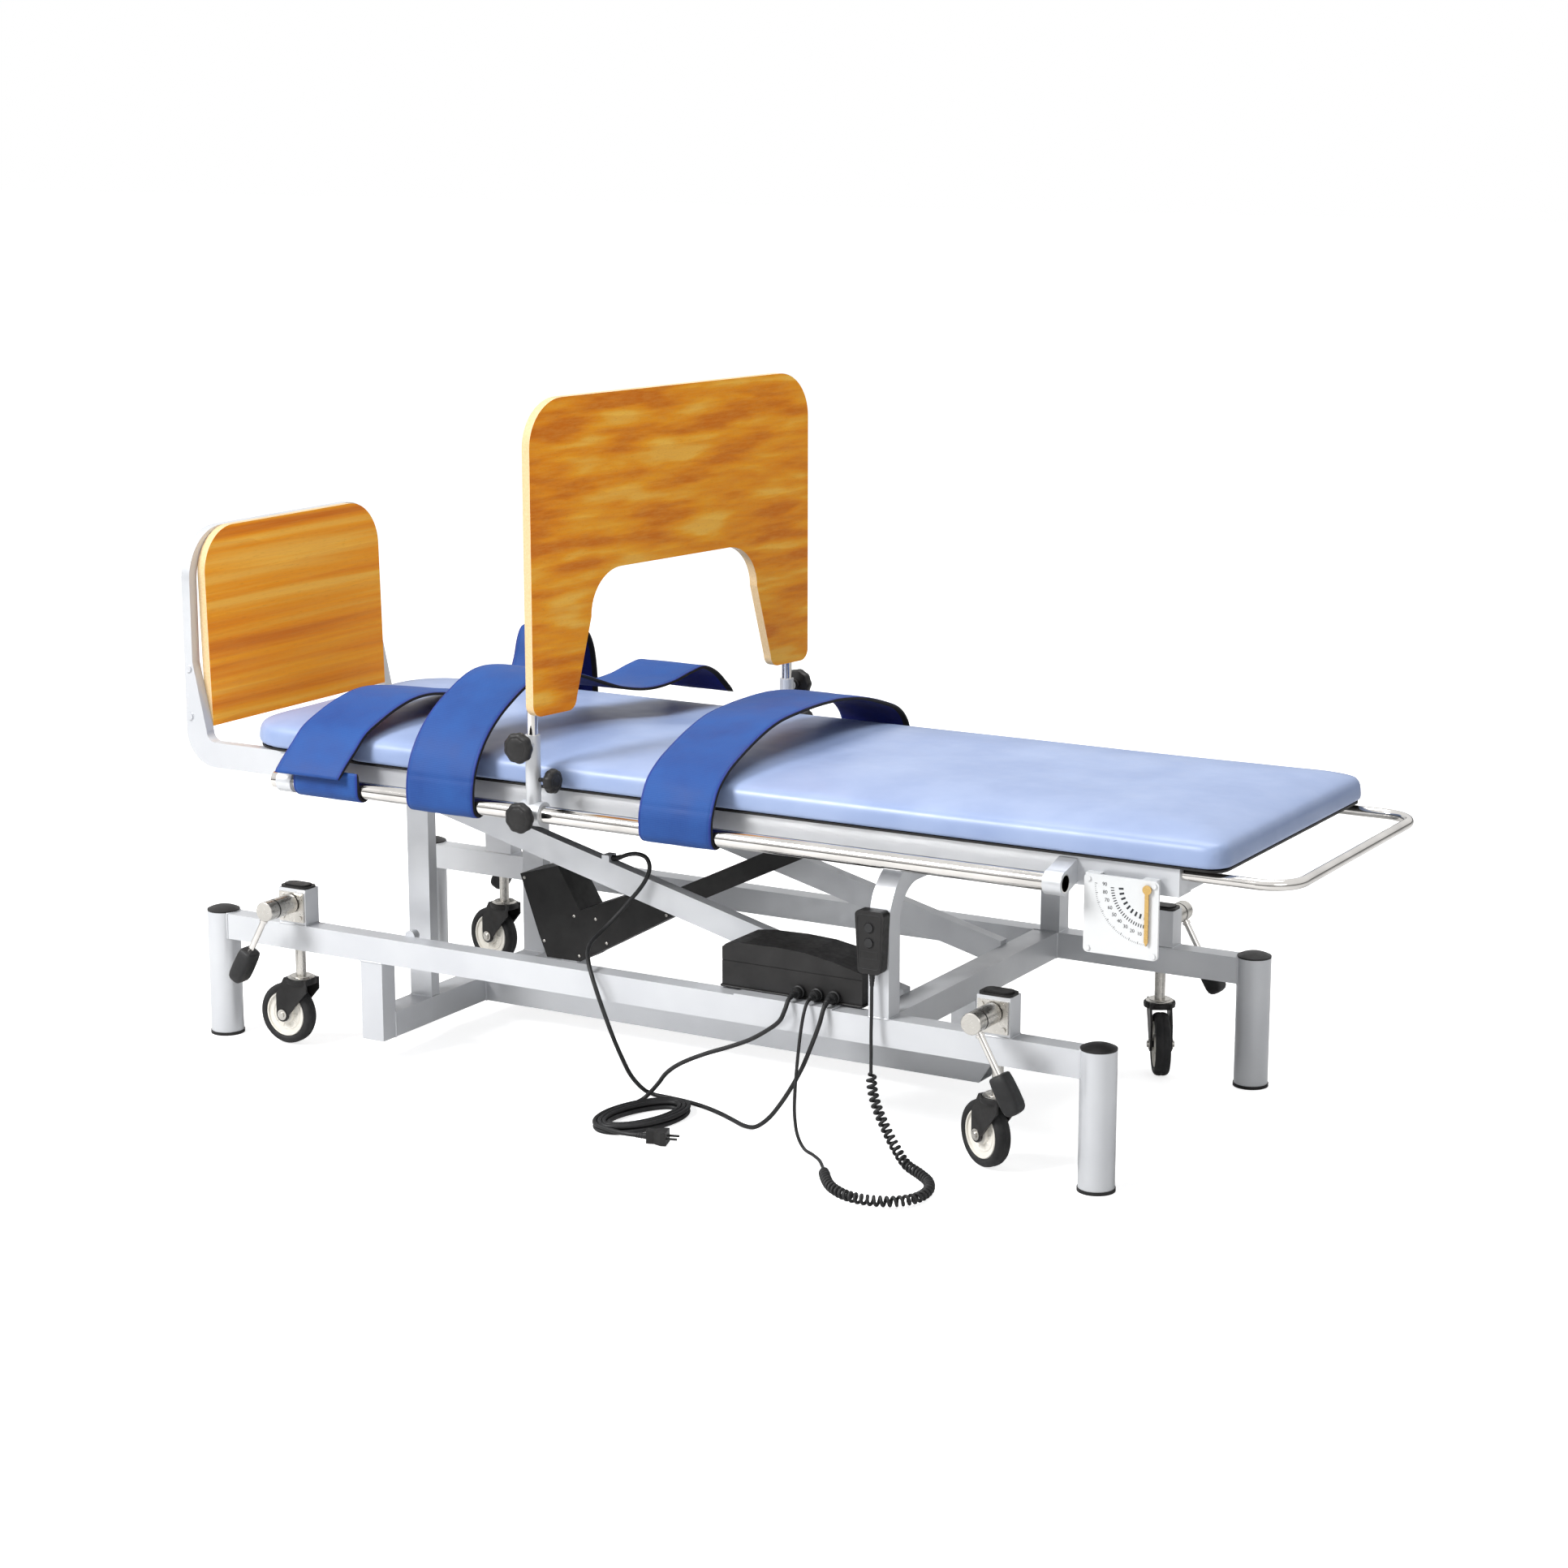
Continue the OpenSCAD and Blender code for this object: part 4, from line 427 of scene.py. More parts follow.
def sleeve(name, pts, radii, mats, seg=20):
    """Tube of changing radius along a line."""
    rings, a = [], Vector((0.13, 0.21, 0.97))
    for p, t, r in zip(pts, tangents(pts), radii):
        a = (a - a.dot(t) * t).normalized()
        rings.append([p + r * d for d in circle(seg, a, t.cross(a))])
    o = loft(name, rings, mats)
    crease(o, 50)
    return o


def cable(name, pts, radius, sides=5):
    """Open poly spline with a round section."""
    curve = bpy.data.curves.new(name, "CURVE")
    curve.dimensions = "3D"
    curve.bevel_depth = radius
    curve.bevel_resolution = sides
    curve.use_fill_caps = True
    s = curve.splines.new("POLY")
    s.points.add(len(pts) - 1)
    for q, p in zip(s.points, pts):
        q.co = (*p, 1)
    s.use_smooth = True
    curve.materials.append(M["soft_plastic"])
    return new_object(name, curve)


def mm(points):
    """Points written in millimetres."""
    return [Vector(p) / 1000 for p in points]


# Cords: the routes repeat those of the CAD model
LEAD, HAND = 0.004, 0.003  # radii of the two leads and of the handset's lead
PACE = 0.004  # between a lead's points
motor_line = mm([
    (-233.4, -193.5, 419.4), (-225.4, -193.5, 419.4),
    (-212, -195, 424), (-192, -201, 432), (-168, -208, 437), (-146, -214, 434),
    (-136, -218, 420), (-138, -222, 402), (-150, -226, 380), (-168, -235, 355),
    (-186, -247, 330), (-202, -268, 306), (-208, -300, 289), (-198, -333, 278),
    (-178, -361, 262), (-160, -376, 240), (-144, -381, 208), (-130, -380, 172),
    (-118, -374, 134), (-109, -360, 94), (-107, -334, 54), (-104, -300, 20),
    (-90, -286, 7), (-60, -284, 5), (-16, -288, 5), (30, -299, 5), (74, -317, 5),
    (114, -338, 5), (150, -359, 6), (182, -373, 13), (212, -379, 35), (238, -382, 66),
    (262, -383, 102), (284, -383, 142), (302, -383, 184), (316, -381, 222),
    (320, -372, 250), (320, -358, 261), (319.66, -350, 262), (319.66, -342, 262)])
mains_line = mm([
    (248.16, -342, 262), (248.16, -350, 262),
    (248, -356, 262), (248, -370, 256), (247, -381, 240), (238, -384, 220),
    (214, -384, 200), (176, -384, 176), (132, -384, 156), (88, -383, 138),
    (46, -378, 118), (10, -367, 97), (-22, -349, 73), (-48, -330, 48),
    (-70, -320, 26), (-85, -324, 10), (-91, -344, 5)])
coil_tail = mm([(-36, -517, 13), (-14, -521, 13), (8, -521, 13), (30, -517, 13), (42, -513, 13)])
curl_line = mm([
    (426, -392, 159), (431, -395, 126), (443, -399, 96), (461, -403, 66),
    (484, -411, 38), (515, -427, 16), (553, -450, 12), (586, -480, 12),
    (606, -520, 12), (606, -562, 12), (582, -596, 12), (542, -612, 12),
    (499, -609, 12), (458, -586, 12), (428, -553, 12), (404, -518, 12)])
hand_down = mm([
    (419, -376.9, 331), (419, -376.9, 325), (419, -378, 298), (420, -380, 260), (421, -383, 222),
    (424, -388, 188)])
hand_back = mm([
    (382, -486, 9), (358, -454, 5), (334, -433, 4), (310, -422, 8), (294, -418, 30),
    (286, -414, 66), (283, -407, 106), (282, -399, 146), (282, -390, 190),
    (284, -382, 230), (285, -372, 252), (285, -358, 261), (285.34, -348, 262), (285.34, -342, 262)])


COIL_X, COIL_Y, COIL_Z = -0.033, -0.408, 0.0043
COIL_LONG, COIL_WIDE = 0.106, 0.062  # half axes of the outer turn
COIL_COS, COIL_SIN = math.cos(math.radians(76)), math.sin(math.radians(76))  # of its long axis
COIL_TURNS, COIL_STEP = 6.25, 0.0089  # and the distance between neighbouring turns
CURLS, CURL_POINTS, CURL_R = 56, 24, 0.0069


def ease(v):
    """Smooth rise from 0 to 1."""
    c = min(max(v, 0), 1)
    return c * c * (3 - 2 * c)


def coil_point(t):
    """Point after t turns, inwards on the floor and outwards again on the layer above."""
    inset = COIL_STEP * min(t, COIL_TURNS - t)
    a = math.radians(90 + 360 * t)
    u, v = (COIL_LONG - inset) * math.cos(a), (COIL_WIDE - inset) * math.sin(a)
    return Vector((
        COIL_X + u * COIL_COS - v * COIL_SIN, COIL_Y + u * COIL_SIN + v * COIL_COS,
        COIL_Z + COIL_STEP * ease(2 * (t - COIL_TURNS / 2) + 0.5)))


lead_in = [coil_point(0) + i * 2 * LEAD * Vector((COIL_COS, COIL_SIN, 0)) for i in (2, 1)]
coil_steps = round(COIL_TURNS * 48)
coil = lead_in + [coil_point(COIL_TURNS * i / coil_steps) for i in range(coil_steps + 1)]
mains_pts = respace(
    spline(mains_line + lead_in[:1], PACE)[:-1] + coil[:-1] + spline([coil[-1]] + coil_tail, PACE), PACE)
motor_pts = spline(motor_line, PACE)

core = spline(curl_line, 0.0005)
core = respace(core, length_of(core) / (CURLS * CURL_POINTS))
helix, side = [], Vector((1, 0, 0))
for i, (p, t) in enumerate(zip(core, tangents(core))):
    side = (side - side.dot(t) * t).normalized()
    r = CURL_R * ease(min(i, len(core) - 1 - i) / CURL_POINTS)
    a = TAU * i / CURL_POINTS
    helix.append(p + r * (math.cos(a) * side + math.sin(a) * t.cross(side)))
hand_pts = spline(hand_down + [helix[0]], 0.003)[:-1] + helix + spline([helix[-1]] + hand_back, 0.003)[1:]

motor_cord = put(cable("motor_lead", motor_pts, LEAD), "base", "soft_plastic", "motor_cord")
mains_cord = put(cable("mains_lead", mains_pts, LEAD), "base", "soft_plastic", "mains_cord", "mains_coil")
hand_cord = put(
    cable("curly_lead", hand_pts, HAND, 3), "base", "soft_plastic", "handset_lead", "handset_curl")


def relief(name, pts, radius, long=0.026, start=0.0072):
    """Tapered, ribbed strain relief over the first stretch of a cord."""
    line = respace(pts[: max(3, round(long / (pts[1] - pts[0]).length) + 1)], 0.0012)
    n = len(line) - 1
    radii = []
    for i in range(n + 1):
        f = i / n
        r = start + (radius + 0.0006 - start) * f
        radii.append(r - (0.0007 if i % 4 == 2 and 0.12 < f < 0.9 else 0))
    return put(sleeve(name, line, radii, "soft_plastic"), "base", "soft_plastic")


reliefs = [
    relief("relief_motor", motor_pts[::-1], LEAD),
    relief("relief_mains", mains_pts, LEAD),
    relief("relief_hand_box", hand_pts[::-1], HAND, 0.022, 0.0066),
    relief("relief_handset", hand_pts, HAND, 0.024, 0.0058),
    relief("relief_clip", motor_pts, LEAD, 0.02, 0.0056),
    relief("relief_plug", mains_pts[::-1], LEAD, 0.022, 0.0062),
]


# CAD nodes that stay, with their materials and softened edges
FORKS = ["caster_fork_%d" % k for k in range(1, 5)]
NODE_MATS = {
    "silver_paint": ["side_rails", "centre_frame", "tilt_stands", "head_hoop", "corner_legs",
                     "bed_frame", "tube_brackets", "foot_frame", "board_clamps"],
    "zinc": ["hinge_pins", "caster_plates"] + ["caster_stem_%d" % k for k in range(1, 5)],
    "chrome": ["side_tubes", "head_handle", "board_posts", "actuator_rod"],
    # The mattress board's black is painted shade: it makes the dark shadow line under the mattress
    "black_plastic": ["leg_feet", "tube_caps", "control_box", "handset", "mains_plug",
                      "actuator_housing", "mattress_board"] + FORKS,
    "button_plastic": ["button_up", "button_down"],
    "white_plate": ["dial_plate"],
    "brass": ["dial_pointer"],
    "oak_veneer": ["activity_board"],
    "oak_foot": ["footboard"],
}
BEVELS = {
    0.0006: ["caster_plates", "dial_plate"],
    0.0008: ["leg_feet"],
    0.001: ["button_up", "button_down"],
    0.0012: ["board_clamps", "actuator_housing", "activity_board", "footboard"],
    0.0015: ["tube_brackets"],
    0.002: ["tilt_stands", "bed_frame", "foot_frame"] + FORKS,
    0.0022: ["side_rails", "centre_frame"],
    0.003: ["head_hoop", "mains_plug"],
    0.0035: ["control_box"],
    0.004: ["handset"],
}
for mat_name, names in NODE_MATS.items():
    for n in names:
        NODES[n].data.materials.clear()
        NODES[n].data.materials.append(M[mat_name])
for width, names in BEVELS.items():
    for n in names:
        bevel(NODES[n], width)


# Casters: place, middle, the fork's heading in degrees, and the end and side that the pedal is on
CASTERS = [
    ("foot_near", FOOT_CASTER_X, -RAIL_Y, 180, -1, -1),
    ("head_near", HEAD_CASTER_X, -RAIL_Y, 152, 1, -1),
    ("head_far", HEAD_CASTER_X, RAIL_Y, -60, 1, 1),
    ("foot_far", FOOT_CASTER_X, RAIL_Y, 170, -1, 1),
]
TRAIL, AXLE_Z = 0.033, 0.0615  # from the stem back to the axle, and up to it
# Profiles in radius and height; those of the tyre and the rim are the half on one side
TYRE = [(0.0445, 0.0118), (0.0468, 0.0138), (0.05, 0.0146), (0.054, 0.0142), (0.0572, 0.0122),
        (0.0592, 0.0088), (0.0599, 0.0044), (0.0599, 0.002), (0.0594, 0.0008)]
RIM = [(0.0445, 0.0112), (0.0432, 0.0128), (0.0412, 0.0126), (0.0402, 0.0092), (0.033, 0.0082),
       (0.0318, 0.0094), (0.0296, 0.0094), (0.0284, 0.0082), (0.019, 0.0084), (0.0176, 0.013),
       (0.012, 0.014), (0.0112, 0.0128), (0.0061, 0.0128)]
NUT = [(0, 0.0262), (0.0052, 0.0262), (0.0062, 0.0254), (0.0062, 0.0232), (0.0105, 0.0228),
       (0.0105, 0.0212)]
SWIVEL_RING = [(0.0101, 0.1418), (0.015, 0.142), (0.0236, 0.14), (0.0262, 0.1386),
               (0.0262, 0.1376), (0.0101, 0.1376)]
SWIVEL_SEAT = [(0.028, 0.1374), (0.03, 0.1356), (0.0305, 0.132), (0.0298, 0.1268), (0.0272, 0.1254)]
# Corners of a rib on the rim: radius, distance round from the rib's middle, height
RIB_COUNT = 10
RIB_ROOT = [(0.0185, -0.0024, 0.0078), (0.0185, 0.0024, 0.0078),
            (0.0287, 0.0018, 0.0078), (0.0287, -0.0018, 0.0078)]
RIB_TOP = [(0.0185, -0.0016, 0.0098), (0.0185, 0.0016, 0.0098),
           (0.0287, 0.0012, 0.0092), (0.0287, -0.0012, 0.0092)]
# Pedal: Y of the socket's face and of the hub's end, its height, and how far it leans
FACE_Y, HUB_Y, PIVOT_Z, LEAN = 0.3693, 0.4485, 0.29, math.radians(29)
HUB = [(0.0081, FACE_Y), (0.018, FACE_Y), (0.019, FACE_Y + 0.001), (0.019, FACE_Y + 0.05),
       (0.0182, FACE_Y + 0.051), (0.0182, FACE_Y + 0.053), (0.019, FACE_Y + 0.054),
       (0.019, HUB_Y - 0.0012), (0.0178, HUB_Y), (0, HUB_Y)]
HUB_MATS = [0, 0, 0, 1, 1, 1, 0, 0, 0]
SHAFT = [(0, 0.3351), (0.0079, 0.3351), (0.0079, FACE_Y + 0.001)]
ROD = [(0, 0.012), (0.006, 0.012), (0.006, 0.021), (0.0078, 0.0215), (0.0078, 0.0265),
       (0.006, 0.027), (0.006, 0.106), (0, 0.106)]
# Sections of the pad: distance along the rod, half width, half thickness
PAD = [(0.0965, 0.012, 0.01), (0.0975, 0.0165, 0.0135), (0.1, 0.0185, 0.015), (0.112, 0.0196, 0.0162),
       (0.134, 0.0199, 0.0169), (0.154, 0.0198, 0.0164), (0.162, 0.0188, 0.0146), (0.1668, 0.016, 0.0112),
       (0.169, 0.0105, 0.006), (0.1695, 0.003, 0.002)]
PAD_POINTS = 40


def both_sides(half):
    """Closed profile from its half on one side."""
    return half + [(r, -h) for r, h in half[::-1]] + [half[0]]


def wheel(spot, at, node):
    """Tyre, and a moulded rim with ribs."""
    body = "wheel_" + spot
    put(lathe("tyre_" + spot, both_sides(TYRE), at, "tyre", 96), body, "tyre", node)
    put(lathe("rim_" + spot, both_sides(RIM), at, "hub_white", 72), body, "tyre")
    verts, faces = [], []
    for i in range(RIB_COUNT):
        a = TAU * i / RIB_COUNT
        for flip in (1, -1):
            b = len(verts)
            verts += [at @ Vector((r * math.cos(a + w / r), r * math.sin(a + w / r), flip * h))
                      for r, w, h in RIB_ROOT + RIB_TOP]
            faces.append((b + 4, b + 5, b + 6, b + 7))
            faces += [(b + j, b + (j + 1) % 4, b + 4 + (j + 1) % 4, b + 4 + j) for j in range(4)]
    put(add("rim_ribs_" + spot, verts, faces, "hub_white", False), body, "tyre")


def pedal(spot, cx, end, side, node):
    """Hub with a black ring on its shaft, plated rod and rubber pad."""
    body = "pedal_" + spot
    out = Vector((0, side, 0))
    pivot = Vector((cx, 0, PIVOT_Z))
    across = frame_at(pivot, out)
    put(lathe("pedal_hub_" + spot, HUB, across, ["zinc", "black_plastic"], 64, HUB_MATS), body, "zinc", node)
    put(lathe("pedal_shaft_" + spot, SHAFT, across, "zinc", 32), body, "zinc")
    down = Vector((end * math.sin(LEAN), 0, -math.cos(LEAN)))
    arm = pivot + out * (HUB_Y - 0.014)
    put(lathe("pedal_rod_" + spot, ROD, frame_at(arm, down), "chrome", 32), body, "zinc")
    pad_at = frame_at(arm, down, (0, 1, 0))
    rings = []
    for h, w, t in PAD:
        rings.append([
            pad_at @ Vector((w * math.copysign(abs(c) ** 0.42, c), t * math.copysign(abs(s) ** 0.5, s), h))
            for c, s in unit_circle(PAD_POINTS)])
    pad = loft("pedal_pad_" + spot, rings, "soft_plastic")
    crease(pad, 60)
    put(pad, body, "zinc")


for k, (spot, cx, cy, heading, end, side) in enumerate(CASTERS, 1):
    c, s = math.cos(math.radians(heading)), math.sin(math.radians(heading))
    hub = Vector((cx + TRAIL * c, cy + TRAIL * s, AXLE_Z))
    axis = Vector((-s, c, 0))
    wheel(spot, frame_at(hub, axis), "caster_wheel_%d" % k)
    for flip, label in ((1, "b"), (-1, "a")):
        nut = lathe("axle_nut_%s_%s" % (spot, label), NUT, frame_at(hub, flip * axis), "zinc", 36)
        put(nut, "fork_" + spot, "zinc")
    stem = Matrix.Translation((cx, cy, 0))
    put(lathe("swivel_ring_" + spot, SWIVEL_RING, stem, "zinc"), "stem_" + spot, "zinc")
    put(lathe("swivel_seat_" + spot, SWIVEL_SEAT, stem, "black_plastic"), "fork_" + spot, "black_plastic")
    pedal(spot, cx, end, side, "pedal_lever_%d" % k)


def knob(name, at, off, r, tip):
    """Clamp knob with a scalloped grip; off is the grip's distance, r its radius and tip the stud's end."""
    profile = [
        (0, tip), (0.004, tip), (0.004, off - 0.0055), (0.0085, off - 0.0052), (0.0098, off - 0.004),
        (0.01, off + 0.0015), (r - 0.01, off + 0.002), (r - 0.0035, off + 0.003),
        (r - 0.0008, off + 0.006), (r, off + 0.0095), (r, off + 0.014), (r - 0.001, off + 0.0175),
        (r - 0.004, off + 0.02), (r - 0.008, off + 0.0208), (r - 0.0095, off + 0.0204),
        (r - 0.0105, off + 0.0209), (r * 0.35, off + 0.0218), (0, off + 0.022)]
    grip = lathe(name + "_grip", profile, at, "black_plastic", 96, None, 9, 0.055)
    put(grip, name, "black_plastic", name)


for label, side, x in (("near", -1, -0.291), ("far", 1, -0.182)):
    y, out = side * TUBE_Y, (0, side, 0)
    knob("post_knob_" + label, frame_at((x, y, 0.66), out), 0.034, 0.029, 0.0103)
    knob("tube_knob_" + label, frame_at((x, y, TUBE_Z), out), 0.034, 0.029, 0.0163)
    knob("sleeve_knob_" + label, frame_at((x, y, 0.595), (1, 0, 0)), 0.031, 0.0232, 0.0103)


# Mattress: a crowned foam block in coated cloth, swelled by a short cloth simulation
TOP_Z, BED_Z = 0.6353, 0.5745
FOOT_X, HEAD_X, WIDE_Y, NARROW_Y = -1.04, 1.053, 0.34, 0.315
FOOT_R, HEAD_R = 0.12, 0.045
NARROW_LONG, TAPER_LONG = 0.06, 0.14  # straight side of the narrow foot end, and the taper beyond it
EDGE_R = 0.024
CORNER_STEPS = 14
DENTS = [  # middle, half widths and depth of the hollows in the top
    (-0.36, 0.16, 0.15, 0.08, 0.013), (-0.27, 0.07, 0.09, 0.05, 0.007),
    (-0.6, -0.02, 0.14, 0.07, 0.006), (-0.4, -0.08, 0.05, 0.12, 0.004)]


def plan_ring(d, z):
    """The mattress's outline, drawn in by d, at a height."""
    x0, x1, y, yf = FOOT_X + d, HEAD_X - d, WIDE_Y - d, NARROW_Y - d
    rf, rh = max(FOOT_R - d, 0.012), max(HEAD_R - d, 0.02)
    narrow = x0 + rf + NARROW_LONG
    wide = narrow + TAPER_LONG
    arcs = [(x1 - rh, y - rh, rh, 0), (x0 + rf, yf - rf, rf, 90),
            (x0 + rf, rf - yf, rf, 180), (x1 - rh, rh - y, rh, 270)]
    ring = []
    for k, (cx, cy, r, a0) in enumerate(arcs):
        if k == 1:
            ring += [Vector((wide, y, z)), Vector((narrow, yf, z))]
        for i in range(CORNER_STEPS + 1):
            a = math.radians(a0 + 90 * i / CORNER_STEPS)
            ring.append(Vector((cx + r * math.cos(a), cy + r * math.sin(a), z)))
        if k == 2:
            ring += [Vector((narrow, -yf, z)), Vector((wide, -y, z))]
    return ring


def inflate(o, voxel, pressure, cap, pinned):
    """Voxel remesh and a swelling under cloth pressure, each point kept within cap of where it was."""
    bpy.context.view_layer.objects.active = o
    r = o.modifiers.new("voxels", "REMESH")
    r.mode = "VOXEL"
    r.voxel_size = voxel
    bpy.ops.object.modifier_apply(modifier=r.name)
    rest = [v.co.copy() for v in o.data.vertices]
    group = o.vertex_groups.new(name="pin")
    group.add([v.index for v in o.data.vertices if v.co.z < pinned], 1.0, "REPLACE")
    c = o.modifiers.new("swell", "CLOTH")
    c.settings.use_pressure = True
    c.settings.uniform_pressure_force = pressure
    c.settings.effector_weights.gravity = 0
    c.settings.vertex_group_mass = "pin"
    c.settings.quality = 4
    c.settings.tension_stiffness = 30
    c.settings.compression_stiffness = 30
    c.settings.bending_stiffness = 2
    c.point_cache.frame_start, c.point_cache.frame_end = 1, 20
    for f in range(1, 21):
        bpy.context.scene.frame_set(f)
    bpy.ops.object.modifier_apply(modifier=c.name)
    bpy.context.scene.frame_set(1)
    for v, p in zip(o.data.vertices, rest):
        move = v.co - p
        if move.length > cap:
            v.co = p + move * (cap / move.length)
    o.vertex_groups.clear()


def mattress():
    thick = TOP_Z - 0.005 - BED_Z - 0.003  # the block before it swells and its top is crowned
    rings = [plan_ring(0.003 * (1 - ease(s)) + 0.0025, BED_Z + s * (thick - EDGE_R))
             for s in (0, 0.3, 0.6, 1)]
    for i in range(1, 7):
        a = math.radians(90 * i / 6)
        rings.append(plan_ring(
            0.003 + EDGE_R * (1 - math.cos(a)), BED_Z + thick - EDGE_R * (1 - math.sin(a))))
    for s in (0.25, 0.5, 0.75, 1):
        rings.append(plan_ring(0.003 + EDGE_R + s * 0.25, BED_Z + thick + 0.0045 * ease(s)))
    o = loft("mattress_cover", rings, "blue_vinyl")
    inflate(o, 0.009, 4.0, 0.006, BED_Z + 0.006)
    for v in o.data.vertices:
        p = v.co
        if p.z > BED_Z + 0.03:
            low = sum(d * math.exp(-(((p.x - x) / w) ** 2 + ((p.y - y) / h) ** 2)) for x, y, w, h, d in DENTS)
            ripple = 0.0012 * noise.noise(Vector((p.x * 3.2, p.y * 4.5, 1.7)))
            p.z = min(p.z - low + ripple - 0.0008, TOP_Z - 0.0002)
        if p.z < BED_Z + 0.002:
            p.z = BED_Z
    o.data.shade_smooth()
    # A smoothing in height alone takes the swelling's wrinkles off the top
    group = o.vertex_groups.new(name="top")
    for v in o.data.vertices:
        group.add([v.index], min(1.0, max(0.0, (v.co.z - BED_Z - thick + 0.012) / 0.01)), "REPLACE")
    level = o.modifiers.new("level", "SMOOTH")
    level.iterations, level.vertex_group = 90, "top"
    level.use_x = level.use_y = False
    o.modifiers.new("smooth", "SMOOTH").iterations = 12
    s = o.modifiers.new("fine", "SUBSURF")
    s.levels = s.render_levels = 1
    bpy.context.view_layer.objects.active = o
    for name in ("level", "smooth", "fine"):
        bpy.ops.object.modifier_apply(modifier=name)
    for v in o.data.vertices:
        v.co.z = max(v.co.z, BED_Z)
    put(o, "bed", "blue_vinyl", "mattress")


mattress()


# Straps: woven cloth outside, black hook-and-loop padding inside, bound edges
# CAD node, name, middle on X, sides on which it loops round a tube, and its line in millimetres
STRAPS = [
    ("strap_foot", "foot_loop", -0.752, [-1], [(-752, -385, 548), (-753, -384.5, 566)]),
    ("", "foot_flap", -0.781, [], [
        (-782, -405, 555), (-777, -388, 578), (-771, -364, 605), (-766, -338, 632), (-762, -300, 651),
        (-758, -250, 669), (-756, -194, 680), (-754, -138, 680), (-750, -62, 668), (-745, 0, 656),
        (-738, 50, 646), (-732, 82, 641)]),
    ("strap_knee", "knee_strap", -0.487, [-1], [
        (-487, -385, 560), (-487, -379, 590), (-487, -364, 622), (-487, -335, 658), (-486, -295, 690),
        (-485, -245, 717), (-483, -195, 738), (-480, -150, 745), (-474, -100, 741), (-465, -50, 728),
        (-452, 0, 709), (-436, 50, 691), (-418, 110, 682), (-402, 170, 687), (-390, 220, 700),
        (-381, 255, 706), (-373, 288, 692), (-365, 314, 666), (-360, 330, 647)]),
    ("strap_hip", "hip_strap", -0.72, [1], [
        (-720, 384, 600), (-720, 381, 650), (-720, 371, 700), (-720, 352, 732), (-720, 330, 734),
        (-720, 314, 712), (-720, 301, 674), (-720, 283, 646), (-720, 252, 640)]),
    ("strap_chest", "chest_strap", 0.025, [-1, 1], [
        (25, -385, 560), (25, -376, 588), (24, -356, 618), (22, -318, 643), (20, -266, 664), (18, -204, 684),
        (17, -140, 699), (16, -60, 705), (15, 30, 706), (15, 110, 702), (15, 200, 688), (15, 278, 667),
        (15, 330, 648), (15, 362, 622), (15, 378, 590), (15, 385, 560)]),
]
LOOP_R = 0.0202  # of a strap's middle round the side tube
LOOP_SEAMS, HEM = [0.108, 0.1125], [0.012]  # seams of a looped and of a free end, from that end
SEAM_HALF, SEAM_DEPTH = 0.0021, 0.0009
# Section in millimetres, from the outer face's edge across and back along the inner face
SECTION = [
    (-76, 0.6), (-75.6, 1.9), (-74, 2.8), (-71.2, 3.1), (-70.4, 2.5), (-69.6, 3.1), (-64, 3.3),
    (-40, 3.35), (-14, 3.3), (14, 3.3), (40, 3.35), (64, 3.3), (69.6, 3.1), (70.4, 2.5), (71.2, 3.1),
    (74, 2.8), (75.6, 1.9), (76, 0.6), (76, -0.3), (76.6, -0.6), (76.6, -3.0), (75.6, -3.3), (65, -3.3),
    (24, -3.3), (-24, -3.3), (-70, -3.3), (-72, -2.9), (-73, -1.0), (-75.4, -0.6)]
# The inner face's material carries painted shade: a darker navy than the webbing for the strap's underside
STRAP_MATS = ["blue_webbing", "strap_black", "strap_edge", "strap_inner_shaded"]
WEB, PAD_EDGE, BINDING, SHADED_LINING = range(4)
# Of the sides between the section's points, in turn
SIDE_MATS = 3 * [BINDING] + 11 * [WEB] + 2 * [BINDING] + 6 * [PAD_EDGE] + 3 * [SHADED_LINING] + 4 * [BINDING]


def tube_loop(x, side):
    """Half a turn under a side tube, from its inner side to its outer side."""
    return [Vector((x, side * (TUBE_Y - LOOP_R * math.cos(a)), TUBE_Z + LOOP_R * math.sin(a)))
            for a in (math.radians(-180 * i / 6) for i in range(7))]


def strap(node, name, x, sides, points):
    line = (tube_loop(x, sides[0]) if sides else []) + mm(points)
    if len(sides) > 1:
        line += tube_loop(line[-1].x, sides[1])[::-1]
    pts = spline(line, 0.004)
    rings, uvs, s = [], [], 0.0
    n, total = len(pts), length_of(pts)
    seams = (LOOP_SEAMS if sides else HEM) + [total - q for q in (LOOP_SEAMS if len(sides) > 1 else HEM)]
    flip = -1 if sides and sides[0] > 0 else 1
    for i, p in enumerate(pts):
        t = Vector((0, *(pts[min(i + 1, n - 1)] - pts[max(i - 1, 0)]).yz)).normalized()
        out = Vector((0, -t.z, t.y)) * flip
        thin = min(1.0, 0.35 + 0.65 * min(i, n - 1 - i) / 2)
        stitch = SEAM_DEPTH if any(abs(s - q) < SEAM_HALF for q in seams) else 0.0
        ring = []
        for u, v in SECTION:
            across = Vector((u / 1000, 0, 0))
            ripple = (0.001 * noise.noise(Vector((u * 0.016, s * 11, x * 9)))
                      + 0.0005 * noise.noise(Vector((u * 0.05, s * 40, x))))
            h = v / 1000 * thin + ripple * (1 if abs(u) < 68 else 0.4) - (stitch if v > 2 else 0)
            ring.append(p + across * (1 - 0.01 * (1 - thin)) + out * h)
            uvs.append((u / 1000, s))
        rings.append(ring)
        if i < n - 1:
            s += (pts[i + 1] - p).length
    o = loft(name, rings, STRAP_MATS, uvs, SIDE_MATS)
    face_outwards(o)
    put(o, "bed", "blue_webbing", *([node] if node else []))


for entry in STRAPS:
    strap(*entry)


